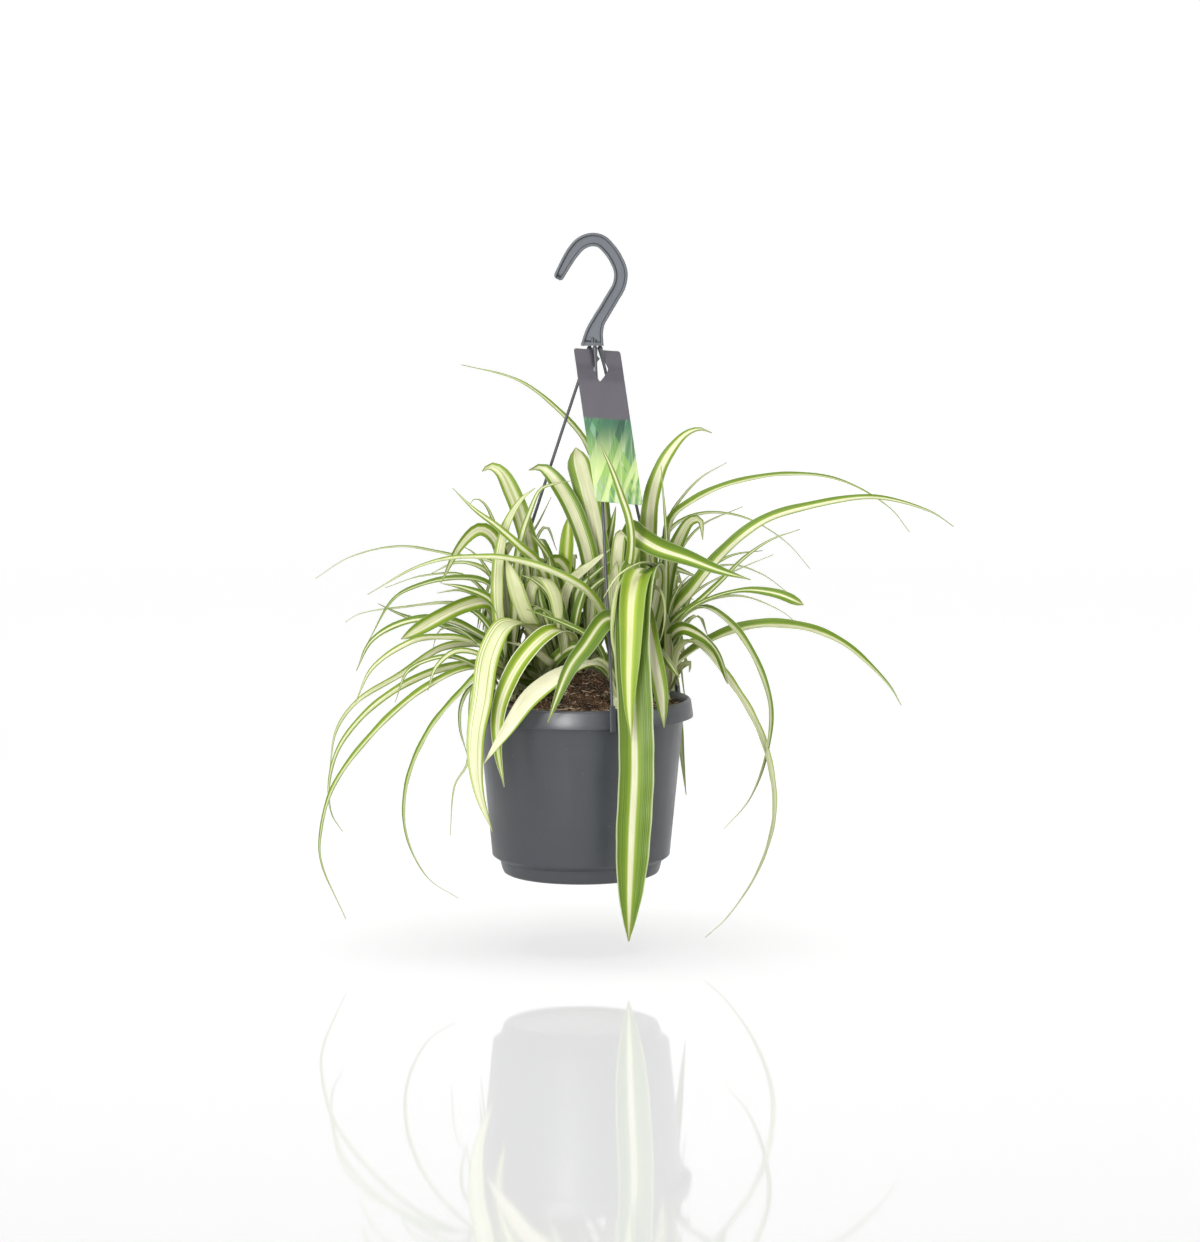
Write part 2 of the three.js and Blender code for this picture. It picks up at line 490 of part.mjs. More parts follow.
// Blades of each tuft: width, face, the points that they pass (seen x, seen z and depth) and, for a
// blade that keeps its width for longer, where it starts to taper.
const BLADES = {
  front: [
    [20, 0.95, [[44, 200, 30], [43, 231, 54], [38, 208, 84], [36, 180, 97], [36, 130, 106], [38, 99, 108]]],
    [12, 0.8, [[33, 205, 34], [32, 226, 54], [25, 210, 80], [23, 180, 90], [29, 150, 94]]],
    [27, 0.97, [[52, 195, 20], [50, 228, 36], [42, 226, 60], [37.5, 180, 84], [40, 125, 95], [41, 77, 99],
      [39, 32, 100], [37, -20, 98], [36, -53, 96]], 0.74],
    [6, 0.6, [[50, 182, 20], [57, 232, 36], [47, 238, 60], [35, 233, 84], [26, 226, 92], [17, 211, 95]]],
    [11, 0.9, [[43, 182, 32], [47, 198, 46], [50, 182, 62], [54, 162, 68], [59, 137, 70], [62, 110, 70]], 0.8],
    [7, 0.7, [[45, 168, 34], [56, 172, 46], [66, 160, 54], [74, 148, 56]]],
    [5, 0.5, [[50, 190, 28], [54, 216, 42], [60, 213, 52], [63, 200, 56], [61, 182, 58], [56, 168, 58]]],
    [15, 0.9, [[38, 176, 44], [29, 190, 64], [18, 191, 78], [3, 171, 90], [-8, 156, 94], [-25, 114, 96]]],
    [15, 0.9, [[20, 152, 36], [7, 159, 58], [-12, 152, 76], [-38, 133, 88], [-56, 108, 93], [-73, 83, 94]]],
    [17, 0.8, [[36, 190, 14], [35, 235, 14], [38, 258, 26], [46, 253, 42], [58, 246, 56], [81, 238, 74],
      [104, 229, 88], [127, 222, 98]]],
    [8, 0.7, [[29, 200, 22], [28, 240, 32], [31, 257, 38], [36, 250, 46], [38, 238, 50]]],
    [7, 0.8, [[32, 205, 38], [38, 250, 58], [36, 268, 61], [30, 286, 60], [23, 305, 58], [14, 324, 52]]],
    [11, 0.5, [[22, 180, 30], [5, 212, 40], [-8, 221, 42], [-27, 230, 40], [-57, 238, 37], [-76, 239, 35],
      [-99, 238, 33], [-124, 231, 30], [-160, 211, 24]]],
  ],
  middle: [
    [15, 0.9, [[2, 170, -12], [7, 228, -2], [-4, 269, 6], [-18, 295, 6], [-29, 306, 3], [-39, 304, -2]], 0.7],
    [19, 0.95, [[10, 180, -22], [14, 235, -10], [8, 273, -4], [-1, 310, -2], [-4, 320, -2]], 0.84],
    [10, 0.6, [[12, 175, -34], [19, 250, -34], [14, 295, -30], [3, 325, -28], [-10, 342, -28], [-36, 365, -30],
      [-53, 374, -34], [-89, 383, -40]]],
    [15, 0.9, [[-30, 185, -14], [-42, 258, -2], [-52, 288, -2], [-61, 304, -4], [-68, 307, -6], [-74, 303, -8]], 0.7],
    [9, 0.8, [[-20, 190, -8], [-31, 232, 12], [-46, 247, 22], [-64, 263, 24], [-80, 275, 24], [-96, 291, 21]]],
    [6, 0.7, [[-30, 190, -34], [-37, 254, -36], [-31, 266, -36], [-22, 284, -36]]],
    [8, 0.7, [[-14, 205, -14], [-24, 238, -4], [-39, 259, 4]]],
    [12, 0.7, [[-6, 215, -20], [-17, 237, -12], [-26, 234, -6], [-34, 222, 0]]],
    [10.5, 0.9, [[-14, 200, -22], [-12, 224, -20], [-10, 266, -16]]],
    [9, 0.8, [[-14, 196, 0], [-7, 221, 8], [8, 234, 15], [22, 245, 16]]],
    [7, 0.8, [[-4, 196, -2], [-2, 214, 6], [11, 227, 9], [22, 236, 9]]],
    [6, 0.8, [[14, 215, -22], [22, 256, -16], [26, 277, -12]]],
    [14, 0.9, [[-9, 170, 6], [-11, 182, 28], [-24, 182, 48], [-46, 160, 64], [-61, 127, 69], [-63, 96, 74],
      [-58, 65, 76]]],
    [18, 0.9, [[-30, 176, 4], [-42, 187, 32], [-57, 186, 52], [-68, 166, 68], [-74, 130, 78], [-79, 100, 82],
      [-77, 62, 83], [-67, 31, 82]], 0.7],
    [11, -0.85, [[-24, 162, -10], [-34, 180, 14], [-45, 203, 26], [-51, 222, 29], [-56, 237, 27]]],
  ],
  left: [
    [10, 0.85, [[-58, 170, -2], [-62, 205, 8], [-61, 239, 10], [-55, 265, 12], [-44, 283, 13], [-34, 291, 12]]],
    [9, 0.8, [[-50, 176, -4], [-46, 246, 9], [-38, 273, 11], [-30, 290, 12], [-19, 294, 17], [-8, 296, 20]]],
    [8, 0.8, [[-52, 176, -12], [-61, 250, -12], [-72, 279, -10], [-79, 283, -8], [-83, 279, -6]]],
    [12, 0.8, [[-54, 170, -8], [-58, 220, -2], [-65, 253, 2], [-76, 260, 8], [-90, 248, 14], [-105, 219, 18]]],
    [9, 0.45, [[-60, 200, -12], [-70, 227, -14], [-91, 235, -18], [-112, 227, -22]]],
    [9, 0.5, [[-60, 190, -6], [-69, 218, -4], [-94, 223, -2], [-126, 216, 0], [-141, 207, 0], [-160, 175, 0]]],
    [7, 0.4, [[-64, 196, -18], [-86, 224, -24], [-118, 225, -28], [-147, 216, -32]]],
    [8, 0.7, [[-59, 190, 4], [-68, 207, 10], [-88, 216, 16], [-104, 219, 18]]],
    [12, 0.85, [[-59, 180, 2], [-67, 206, 12], [-87, 204, 24], [-108, 195, 30], [-135, 176, 34]], 0.82],
    [10, 0.5, [[-62, 168, 0], [-78, 181, 2], [-101, 191, 6], [-131, 190, 8], [-157, 176, 10], [-169, 153, 10]]],
    [8, 0.45, [[-66, 166, -10], [-80, 177, -14], [-104, 187, -18], [-131, 194, -20], [-152, 204, -22]]],
    [6, 0.4, [[-66, 180, -18], [-86, 202, -24], [-136, 201, -34], [-167, 196, -40], [-177, 190, -42]]],
    [9, 0.45, [[-64, 164, 4], [-86, 176, 12], [-104, 178, 15], [-124, 176, 18], [-156, 156, 20], [-170, 129, 20]]],
    [10, 0.5, [[-62, 160, 0], [-74, 171, 0], [-103, 170, 0], [-133, 151, -2], [-169, 129, -4], [-184, 108, -6],
      [-190, 74, -6]]],
    [10, 0.6, [[-62, 156, 6], [-79, 158, 12], [-116, 150, 18], [-156, 126, 20], [-182, 95, 20], [-190, 66, 19],
      [-188, 44, 18], [-180, 31, 17]]],
    [11, 0.5, [[-62, 152, 10], [-86, 154, 24], [-118, 139, 30], [-154, 108, 34], [-187, 64, 36], [-197, 25, 36],
      [-196, 7, 36], [-178, -36, 36]]],
    [9, 0.5, [[-60, 152, 16], [-72, 154, 34], [-90, 137, 42], [-114, 108, 47], [-131, 68, 50], [-132, 30, 50],
      [-116, -4, 50], [-93, -20, 50]]],
    [6, 0.6, [[-74, 164, 20], [-94, 168, 28], [-109, 156, 32], [-115, 138, 33]]],
    [6, 0.6, [[-78, 156, 18], [-100, 164, 27], [-121, 159, 28], [-131, 152, 30], [-140, 129, 31]]],
    [5, 0.6, [[-70, 146, 4], [-83, 140, 6], [-90, 127, 8], [-91, 110, 10], [-86, 90, 10]]],
    [5, 0.6, [[-66, 150, 30], [-80, 142, 48], [-84, 110, 56], [-86, 82, 58], [-95, 67, 58], [-99, 28, 56]]],
  ],
  right: [
    [16, 0.85, [[58, 175, -14], [52, 235, -10], [53, 280, -10], [62, 310, -12], [78, 331, -18], [89, 335, -21],
      [98, 332, -24]]],
    [7, 0.85, [[62, 175, -8], [64, 250, 2], [62, 281, 5], [60, 307, 6]]],
    [11, 0.45, [[70, 190, -26], [65, 240, -32], [68, 268, -34], [82, 280, -34], [106, 292, -35], [151, 301, -38],
      [193, 297, -42], [231, 276, -46], [246, 258, -48]]],
    [13, 0.7, [[64, 175, -8], [68, 195, 0], [83, 214, 6], [106, 242, 10], [136, 266, 12], [174, 278, 12],
      [220, 284, 10], [262, 273, 8], [279, 262, 6]]],
    [8, 0.6, [[63, 170, 0], [68, 189, 8], [88, 205, 16], [106, 222, 20], [123, 239, 22], [142, 252, 22],
      [164, 260, 20]]],
    [9, 0.6, [[64, 165, 4], [75, 193, 18], [90, 205, 26], [121, 214, 32], [148, 211, 36], [167, 203, 38]], 0.9],
    [6, 0.4, [[66, 180, -20], [87, 202, -22], [106, 209, -24], [124, 209, -26], [151, 198, -28], [160, 191, -29]]],
    [12, 0.5, [[66, 165, 0], [72, 187, 8], [91, 201, 16], [113, 187, 24], [131, 160, 30], [142, 126, 34],
      [139, 89, 38], [127, 56, 40], [108, 33, 40]]],
    [12, 0.5, [[70, 150, -10], [74, 168, 4], [82, 175, 14], [93, 168, 22], [110, 147, 30], [130, 115, 36],
      [141, 84, 40], [145, 44, 44], [134, 3, 48], [110, -35, 50], [94, -50, 50]]],
    [11, 0.85, [[66, 165, 2], [67, 182, 16], [76, 186, 32], [89, 177, 44], [98, 168, 48], [105, 156, 50],
      [109, 143, 50]], 0.78],
    [12, 0.5, [[70, 150, -20], [75, 160, -20], [97, 176, -20], [128, 187, -18], [166, 186, -16], [197, 174, -14],
      [231, 143, -12], [241, 127, -12]]],
    [15, 0.85, [[62, 175, -20], [66, 228, -22], [73, 250, -19], [82, 266, -14], [89, 267, -9], [91, 252, -4]]],
    [6, 0.7, [[70, 146, -16], [76, 157, -12], [82, 159, -8], [81, 152, -5]]],
  ],
  rear_left: [
    [6, 0.4, [[-36, 190, -58], [-61, 232, -62], [-99, 241, -66], [-136, 247, -70], [-173, 239, -74], [-199, 223, -78]]],
    [7, 0.7, [[-34, 200, -60], [-34, 250, -60], [-26, 262, -58], [-18, 244, -54]]],
  ],
  rear_right: [
    [7, 0.7, [[52, 190, -60], [62, 245, -62], [67, 270, -62], [75, 283, -62], [90, 299, -63], [109, 310, -64]]],
    [8, 0.4, [[50, 200, -66], [60, 248, -70], [72, 264, -72], [94, 272, -74], [124, 268, -78], [154, 250, -82],
      [172, 230, -86]]],
    [7, 0.5, [[60, 215, -60], [80, 252, -58], [92, 264, -58], [121, 277, -60]]],
    [10, 0.6, [[44, 190, -56], [58, 232, -56], [71, 230, -55], [92, 222, -54]]],
    [6, 0.4, [[60, 195, -56], [88, 226, -58], [112, 233, -60], [136, 226, -63], [158, 210, -66]]],
    [6, 0.4, [[58, 180, -62], [88, 214, -68], [116, 229, -72], [144, 241, -78]]],
  ],
};

// The far side, drawn by a rule with a seeded draw: azimuths from the front, in degrees, between
// which each tuft's further blades fan out.
const FAR_FANS = [
  { crown: "rear_left", count: 9, from: 176, to: 240, seed: 11 },
  { crown: "rear_right", count: 9, from: 120, to: 184, seed: 29 },
];
const FAR_SPREAD = 50; // how far sideways these blades reach

// A plain seeded draw between 0 and 1.
function drawFrom(seed) {
  let state = seed;
  return () => {
    state = (state * 16807) % 2147483647;
    return state / 2147483647;
  };
}

// Blades that arch outwards and down, each in its own upright plane.
function farBlades({ count, from, to, seed }, { x, y, z }) {
  const draw = drawFrom(seed);
  for (let i = 0; i < 5; i++) draw();
  return Array.from({ length: count }, (_, i) => {
    const azimuth = THREE.MathUtils.degToRad(from + ((to - from) * (i + 0.2 + 0.6 * draw())) / count);
    const reach = Math.min(90 + 70 * draw(), FAR_SPREAD / Math.abs(Math.sin(azimuth)));
    const rise = 55 + 60 * draw();
    const drop = 40 + 110 * draw();
    const width = 8 + 7 * draw();
    const route = [
      [0.03, 4],
      [0.16, 0.62 * rise],
      [0.42, rise],
      [0.74, rise - 0.32 * drop],
      [1, rise - drop],
    ];
    const points = route.map(
      ([share, up]) =>
        new THREE.Vector3(
          x + reach * share * Math.sin(azimuth),
          y - reach * share * Math.cos(azimuth),
          z + up,
        ),
    );
    return bladeGeometry(points, width);
  });
}

function crownPlaces() {
  const places = {};
  for (const [name, [x, y]] of Object.entries(CROWNS)) places[name] = { x, y, z: soilHeight(x, y) };
  return places;
}

function crownGeometry({ x, y, z }) {
  const { radius, above, below, sides } = CROWN;
  const profile = [
    [0, z - below],
    [radius * 0.6, z - below],
    [radius, z - below * 0.6],
    [radius, z + above * 0.4],
    [radius * 0.7, z + above],
    [0, z + above + 1],
  ];
  return turned(profile, sides).translate(x, y, 0);
}

// A blade starts inside its crown, a little to the side that it leaves by.
function bladeRoot({ x, y, z }, next) {
  const side = new THREE.Vector3(next.x - x, next.y - y, 0).setLength(CROWN.radius * 0.45);
  return new THREE.Vector3(x, y, z + 3).add(side);
}

function rosetteGeometry(name, places) {
  const place = places[name];
  const blades = BLADES[name].map(([width, face, route, full]) => {
    const points = route.map(seen);
    return bladeGeometry([bladeRoot(place, points[0]), ...points], width, face, full);
  });
  const far = FAR_FANS.filter(({ crown }) => crown === name).flatMap((fan) => farBlades(fan, place));
  return geometryOf(fuse([crownGeometry(place), ...blades, ...far].map(solidOf)));
}

// ---------------------------------------------------------------- assembly

const group = new THREE.Group();
group.position.set(...HOOK_SEAT).negate();

function addPiece(name, geometry, material) {
  const mesh = new THREE.Mesh(geometry, material);
  mesh.name = name;
  group.add(mesh);
}

const places = crownPlaces();
addPiece("pot", potGeometry(), plastic(GREY_PLASTIC, 0.5));
addPiece("reservoir_insert", insertGeometry(), plastic(0x2a2c2f, 0.6));
addPiece("soil", soilGeometry(Object.values(places)), plastic(0x3a2a20, 0.95));
addPiece("hook", hookGeometry(), plastic(GREY_PLASTIC, 0.45));
for (const leg of LEGS) addPiece(leg.name, legGeometry(leg), plastic(0x3f4247, 0.5));
addPiece("tag", tagGeometry(), plastic(0x57505a, 0.4));
for (const name of Object.keys(CROWNS)) {
  addPiece(`rosette_${name}`, rosetteGeometry(name, places), plastic(FOLIAGE, 0.5));
}

export default group;
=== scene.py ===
# %% [markdown]
# # A spider plant in a hanging pot
# This lesson dresses a imported CAD model. The model gives every piece its place and size; here
# each piece gets its finer shape and its finish. A spider plant is grown for its striped leaves,
# so most of the work is one good leaf, repeated along many drawn routes.

# %% Load the imported model
import bisect
import math
import random

import bmesh
import bpy
from mathutils import Matrix, Vector, noise


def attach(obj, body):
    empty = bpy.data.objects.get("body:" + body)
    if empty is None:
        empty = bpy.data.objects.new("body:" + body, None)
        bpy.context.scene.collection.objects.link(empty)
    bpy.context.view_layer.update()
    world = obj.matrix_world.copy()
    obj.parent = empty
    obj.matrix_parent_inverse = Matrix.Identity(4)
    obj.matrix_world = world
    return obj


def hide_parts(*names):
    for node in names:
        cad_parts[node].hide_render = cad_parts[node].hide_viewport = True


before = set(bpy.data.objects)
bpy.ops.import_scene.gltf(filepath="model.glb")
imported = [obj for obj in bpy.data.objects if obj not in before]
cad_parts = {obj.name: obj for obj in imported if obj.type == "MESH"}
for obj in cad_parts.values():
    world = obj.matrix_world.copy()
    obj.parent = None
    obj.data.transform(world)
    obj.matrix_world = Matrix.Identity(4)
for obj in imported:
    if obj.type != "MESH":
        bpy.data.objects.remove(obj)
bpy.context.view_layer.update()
print("nodes:", sorted(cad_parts))

# %% [markdown]
# ## Units and places
# The plant is worked out in millimetres. The pot's axis is the z axis, and z = 0 is under the pot.
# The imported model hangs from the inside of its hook, so one matrix takes a finished piece from
# the pot's frame to the model's frame, in metres. The place stays in the mesh and the object
# itself stays at the origin, because the export puts every object there.

# %% From the pot's frame to the model's
HOOK_SEAT = Vector((10.5, 0, 470.2))
MILLIMETRE = 0.001
TO_MODEL = Matrix.Scale(MILLIMETRE, 4) @ Matrix.Translation(-HOOK_SEAT)
PLANT = bpy.data.collections.new("plant")  # for the lamps that light nothing else
WELD, SEAM = 1e-4, 1e-3  # mm within which points merge, in a finished piece and in a spun one


def add_object(name, data):
    thing = bpy.data.objects.new(name, data)
    bpy.context.scene.collection.objects.link(thing)
    return thing


def keep(bm, name, materials, node=None, crease=40):
    """Makes a finished piece of a mesh that was built in the pot's frame."""
    bmesh.ops.remove_doubles(bm, verts=bm.verts, dist=WELD)
    bm.transform(TO_MODEL)
    for face in bm.faces:
        face.smooth = True
    for edge in bm.edges:
        edge.smooth = edge.calc_face_angle(0) < math.radians(crease)
    mesh = bpy.data.meshes.new(name)
    bm.to_mesh(mesh)
    bm.free()
    piece = add_object(name, mesh)
    PLANT.objects.link(piece)
    for material in materials:
        mesh.materials.append(material)
    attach(piece, "root")
    if node:
        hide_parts(node)
    triangles = sum(len(face.vertices) - 2 for face in mesh.polygons)
    print(f"{name}: {triangles} triangles")


print("hook seat above the pot's foot:", HOOK_SEAT.z, "mm")

# %% [markdown]
# ## Shader maths as plain expressions
# A procedural finish is mostly arithmetic: a stripe is a distance turned into a mask, and a
# colour is two colours mixed by it. Wrapping a node's socket in a small class lets that
# arithmetic be written as it is read, and each operator adds its Math node.

# %% A socket that can be added, multiplied and compared


class Value:
    """One output socket of a material, with the operators that build Math nodes."""

    def __init__(self, finish, socket):
        self.finish = finish
        self.socket = socket

    def maths(self, operation, *others):
        values = dict(enumerate((self, *others)))
        return self.finish.node("ShaderNodeMath", {"operation": operation}, values)

    def __add__(self, other):
        return self.maths("ADD", other)

    def __sub__(self, other):
        return self.maths("SUBTRACT", other)

    def __mul__(self, other):
        return self.maths("MULTIPLY", other)

    def __rsub__(self, other):
        return (self * -1) + other

    def __abs__(self):
        return self.maths("ABSOLUTE")

    __radd__ = __add__
    __rmul__ = __mul__


class Finish:
    """A material with one Principled shader and short ways to add what drives it."""

    def __init__(self, name, roughness=0.5, **constants):
        self.material = bpy.data.materials.new(name)
        self.material.use_nodes = True
        self.tree = self.material.node_tree
        self.shader = self.tree.nodes["Principled BSDF"]
        self.shader.inputs["Roughness"].default_value = roughness
        for key, value in constants.items():
            self.shader.inputs[key.replace("_", " ")].default_value = value

    def node(self, kind, settings=None, values=None, out=0):
        """Any node: its settings come first, then the values or links of its sockets."""
        made = self.tree.nodes.new(kind)
        for key, value in (settings or {}).items():
            setattr(made, key, value)
        for key, value in (values or {}).items():
            if isinstance(value, Value):
                self.tree.links.new(value.socket, made.inputs[key])
            else:
                made.inputs[key].default_value = value
        return Value(self, made.outputs[out])

    def drive(self, socket, value):
        self.tree.links.new(value.socket, self.shader.inputs[socket])

    def attribute(self, name, out="Fac"):
        return self.node("ShaderNodeAttribute", {"attribute_name": name}, out=out)

    def place(self):
        """Object coordinates, which are metres in the model's frame."""
        return self.node("ShaderNodeTexCoord", out="Object")

    def surface(self):
        """The piece's own UV map: u across it and v along it."""
        return self.node("ShaderNodeTexCoord", out="UV")

    def parts(self, vector):
        return [self.node("ShaderNodeSeparateXYZ", values={0: vector}, out=axis) for axis in "XYZ"]

    def vector(self, x, y, z):
        return self.node("ShaderNodeCombineXYZ", values={0: x, 1: y, 2: z})

    def stretched(self, vector, scale):
        return self.node("ShaderNodeMapping", values={"Vector": vector, "Scale": scale})

    def noise(self, vector, scale=1.0, detail=2.0, roughness=0.5):
        values = {"Vector": vector, "Scale": scale, "Detail": detail, "Roughness": roughness}
        return self.node("ShaderNodeTexNoise", values=values)

    def mask(self, value, low, high, to_low=0.0, to_high=1.0):
        """A smooth step from to_low at low to to_high at high."""
        settings = {"interpolation_type": "SMOOTHSTEP"}
        values = {0: value, 1: low, 2: high, 3: to_low, 4: to_high}
        return self.node("ShaderNodeMapRange", settings, values)

    def mix(self, share, first, second, blend="MIX"):
        settings = {"data_type": "RGBA", "blend_type": blend}
        return self.node("ShaderNodeMix", settings, {0: share, 6: first, 7: second}, out=2)

    def bump(self, height, distance, strength=1.0):
        values = {"Height": height, "Distance": distance, "Strength": strength}
        self.drive("Normal", self.node("ShaderNodeBump", values=values))


def paint(*colour):
    """A colour as an editor shows it, 0 to 255, as the linear light that a shader wants."""
    linear = [c / 255 / 12.92 if c < 11 else ((c / 255 + 0.055) / 1.055) ** 2.4 for c in colour]
    return (*linear, 1.0)


def shaded(colour, share):
    return (*(c * share for c in colour[:3]), 1)


POT_GREY = paint(47, 50, 56)
print("pot grey in linear light:", [round(c, 3) for c in POT_GREY])

# %% [markdown]
# ## Sweeping a section along a line
# The hook, the legs and the soil's fibres are all a section carried along a line. A sweep starts
# from one ring of edges, extrudes it once for each station, and sets the new ring down there.
# Each vertex remembers its number in the ring, so that the extruded copy knows its own.

# %% The sweep


def verts_in(geom):
    return [item for item in geom if isinstance(item, bmesh.types.BMVert)]


def sweep(bm, rings):
    """Joins rings of points, all of one length, into a closed tube with filled ends."""
    number = bm.verts.layers.int.get("number") or bm.verts.layers.int.new("number")
    ring = [bm.verts.new(point) for point in rings[0]]
    for place, vertex in enumerate(ring):
        vertex[number] = place
    edges = [bm.edges.new((ring[i - 1], ring[i])) for i in range(len(ring))]
    ends = [edges]
    made = list(edges)
    for points in rings[1:]:
        grown = bmesh.ops.extrude_edge_only(bm, edges=edges)["geom"]
        new = set(verts_in(grown))
        for vertex in new:
            vertex.co = points[vertex[number]]
        edges = [g for g in grown if isinstance(g, bmesh.types.BMEdge) and set(g.verts) <= new]
        made.extend(edges)
    ends.append(edges)
    for loop in ends:
        bmesh.ops.contextual_create(bm, geom=loop)
    faces = list({face for edge in made for face in edge.link_faces})
    bmesh.ops.recalc_face_normals(bm, faces=faces)


def circle_of(centre, along, radius, sides):
    """A ring of points round a line, square to its direction."""
    upright = abs(along.normalized().z) >= 0.95
    side = along.cross(Vector((0, 1, 0) if upright else (0, 0, 1))).normalized()
    other = along.cross(side).normalized()
    turns = [2 * math.pi * i / sides for i in range(sides)]
    return [centre + radius * (math.cos(turn) * side + math.sin(turn) * other) for turn in turns]


def directions(line):
    """The way a line of points runs at each of them."""
    return [b - a for a, b in zip([line[0], *line[:-1]], [*line[1:], line[-1]])]


def smoothstep(value, low, high):
    share = min(max((value - low) / (high - low), 0), 1)
    return share * share * (3 - 2 * share)


print("halfway, a smooth step is at", smoothstep(0.5, 0, 1))

# %% [markdown]
# ## A smooth route
# A leaf's middle line is a centripetal Catmull-Rom spline: it passes through every point that was
# drawn, and it doesn't loop or overshoot where the points stand unevenly, as other splines do.

# %% The spline
MARKS = 400  # divisions at which a route's length is measured


class Route:
    """A smooth line through points."""

    def __init__(self, points):
        self.points = [Vector(point) for point in points]
        self.spans = len(self.points) - 1
        self.lengths = [0.0]
        last = self.point(0)
        for i in range(1, MARKS + 1):
            here = self.point(i / MARKS)
            self.lengths.append(self.lengths[-1] + (here - last).length)
            last = here
        self.length = self.lengths[-1]

    def point(self, t):
        along = t * self.spans
        span = min(int(along), self.spans - 1)
        weight = along - span
        p = self.points
        b, c = p[span], p[span + 1]
        a = p[span - 1] if span > 0 else 2 * p[0] - p[1]
        d = p[span + 2] if span + 2 < len(p) else 2 * p[-1] - p[-2]
        first, middle, last = (math.sqrt((q - r).length) for q, r in ((b, a), (c, b), (d, c)))
        start = (b - a) / first - (c - a) / (first + middle) + (c - b) / middle
        stop = (c - b) / middle - (d - b) / (middle + last) + (d - c) / last
        start, stop = start * middle, stop * middle
        square, cube = weight**2, weight**3
        return (
            b
            + start * weight
            + (3 * (c - b) - 2 * start - stop) * square
            + (2 * (b - c) + start + stop) * cube
        )

    def tangent(self, t):
        low, high = max(t - 1e-4, 0), min(t + 1e-4, 1)
        return (self.point(high) - self.point(low)).normalized()

    def at_share(self, share):
        """The spline's own parameter at a share of its length."""
        target = share * self.length
        high = min(bisect.bisect_right(self.lengths, target), MARKS)
        low = high - 1
        run = self.lengths[high] - self.lengths[low]
        return (low + (target - self.lengths[low]) / run) / MARKS if run else low / MARKS


sample = Route([(0, 0, 0), (10, 0, 20), (30, 0, 30), (60, 0, 10)])
print("a sample route is", round(sample.length, 1), "mm long")

# %% [markdown]
# ## The pot
# The real pot is thin injection-moulded plastic: a tapering wall, a rim whose skirt turns down, a
# step that carries a plate above the water, and a foot. It is round, so its profile is drawn once
# and spun. Small bevels on the rings that turn sharply catch the light as moulded edges do.

# %% Pot shape
POT_HEIGHT = 133
RIM_RADIUS = 82.5
SKIRT_RADIUS = 84.5
SKIRT_HEIGHT = 13.5
BODY_RADIUS = 76.8
STEP_RADIUS = 66.9
STEP_HEIGHT = 14.5
FOOT_RADIUS = 61.2
WALL = 1.4
FLOOR = 1.8
LEDGE_RADIUS = 65.3
LEDGE_HEIGHT = 15.2
UNDER_RIM = POT_HEIGHT - SKIRT_HEIGHT
POT_STEPS = 144


def spun(bm, profile, steps):
    """Turns a profile of [radius, z] about the z axis into a closed shell."""
    line = [bm.verts.new((radius, 0, z)) for radius, z in profile]
    edges = [bm.edges.new(pair) for pair in zip(line, line[1:])]
    bmesh.ops.spin(
        bm, geom=line + edges, cent=(0, 0, 0), axis=(0, 0, 1), angle=2 * math.pi, steps=steps,
        use_merge=True,
    )
    bmesh.ops.remove_doubles(bm, verts=bm.verts, dist=SEAM)
    bmesh.ops.recalc_face_normals(bm, faces=bm.faces)


def bevel(bm, edges, width, segments):
    bmesh.ops.bevel(
        bm, geom=edges, offset=width, offset_type="OFFSET", segments=segments, profile=0.5,
        affect="EDGES", material=-1, clamp_overlap=True,
    )


def soften(bm, width, segments, sharpest):
    """Bevels the edges that turn by more than an angle."""
    sharp = [edge for edge in bm.edges if edge.calc_face_angle(0) > math.radians(sharpest)]
    bevel(bm, sharp, width, segments)


pot = bmesh.new()
spun(
    pot,
    [
        # Under the foot and up the outside.
        (0, FLOOR), (47, FLOOR), (49.5, 0), (55.4, 0), (58.4, 1.5), (59.6, 4.5),
        (FOOT_RADIUS, 10.6), (63.4, 12), (STEP_RADIUS, STEP_HEIGHT), (BODY_RADIUS, UNDER_RIM - 2),
        # Under the skirt and over the rim.
        (79.6, POT_HEIGHT - 5.6), (81.2, POT_HEIGHT - 3.6), (SKIRT_RADIUS - 1.6, UNDER_RIM),
        (SKIRT_RADIUS, UNDER_RIM), (RIM_RADIUS + 0.2, POT_HEIGHT - 1.4),
        (RIM_RADIUS - 1, POT_HEIGHT), (79.6, POT_HEIGHT), (78.6, POT_HEIGHT - 4),
        # Down the inside, over the ledge.
        (BODY_RADIUS - WALL, UNDER_RIM - 2), (LEDGE_RADIUS + 0.2, LEDGE_HEIGHT),
        (61.9, LEDGE_HEIGHT), (FOOT_RADIUS - WALL, 11.4), (58.1, 5), (56.4, FLOOR + 1),
        (54.6, FLOOR), (50.4, FLOOR), (47.9, 2 * FLOOR), (0, 2 * FLOOR),
    ],
    POT_STEPS,
)
soften(pot, width=0.45, segments=2, sharpest=24)
print("pot rings are bevelled:", len(pot.faces), "faces")

# %% [markdown]
# ## Moulded grey plastic
# Pot and hook are the same satin plastic, a little blue. What makes it read as moulded is faint:
# flow lines that run down the wall, a few turned bands, a cloudy sheen and some dust. All of it
# is read from Object coordinates, because the pot has no seam there.

# %% Pot finish


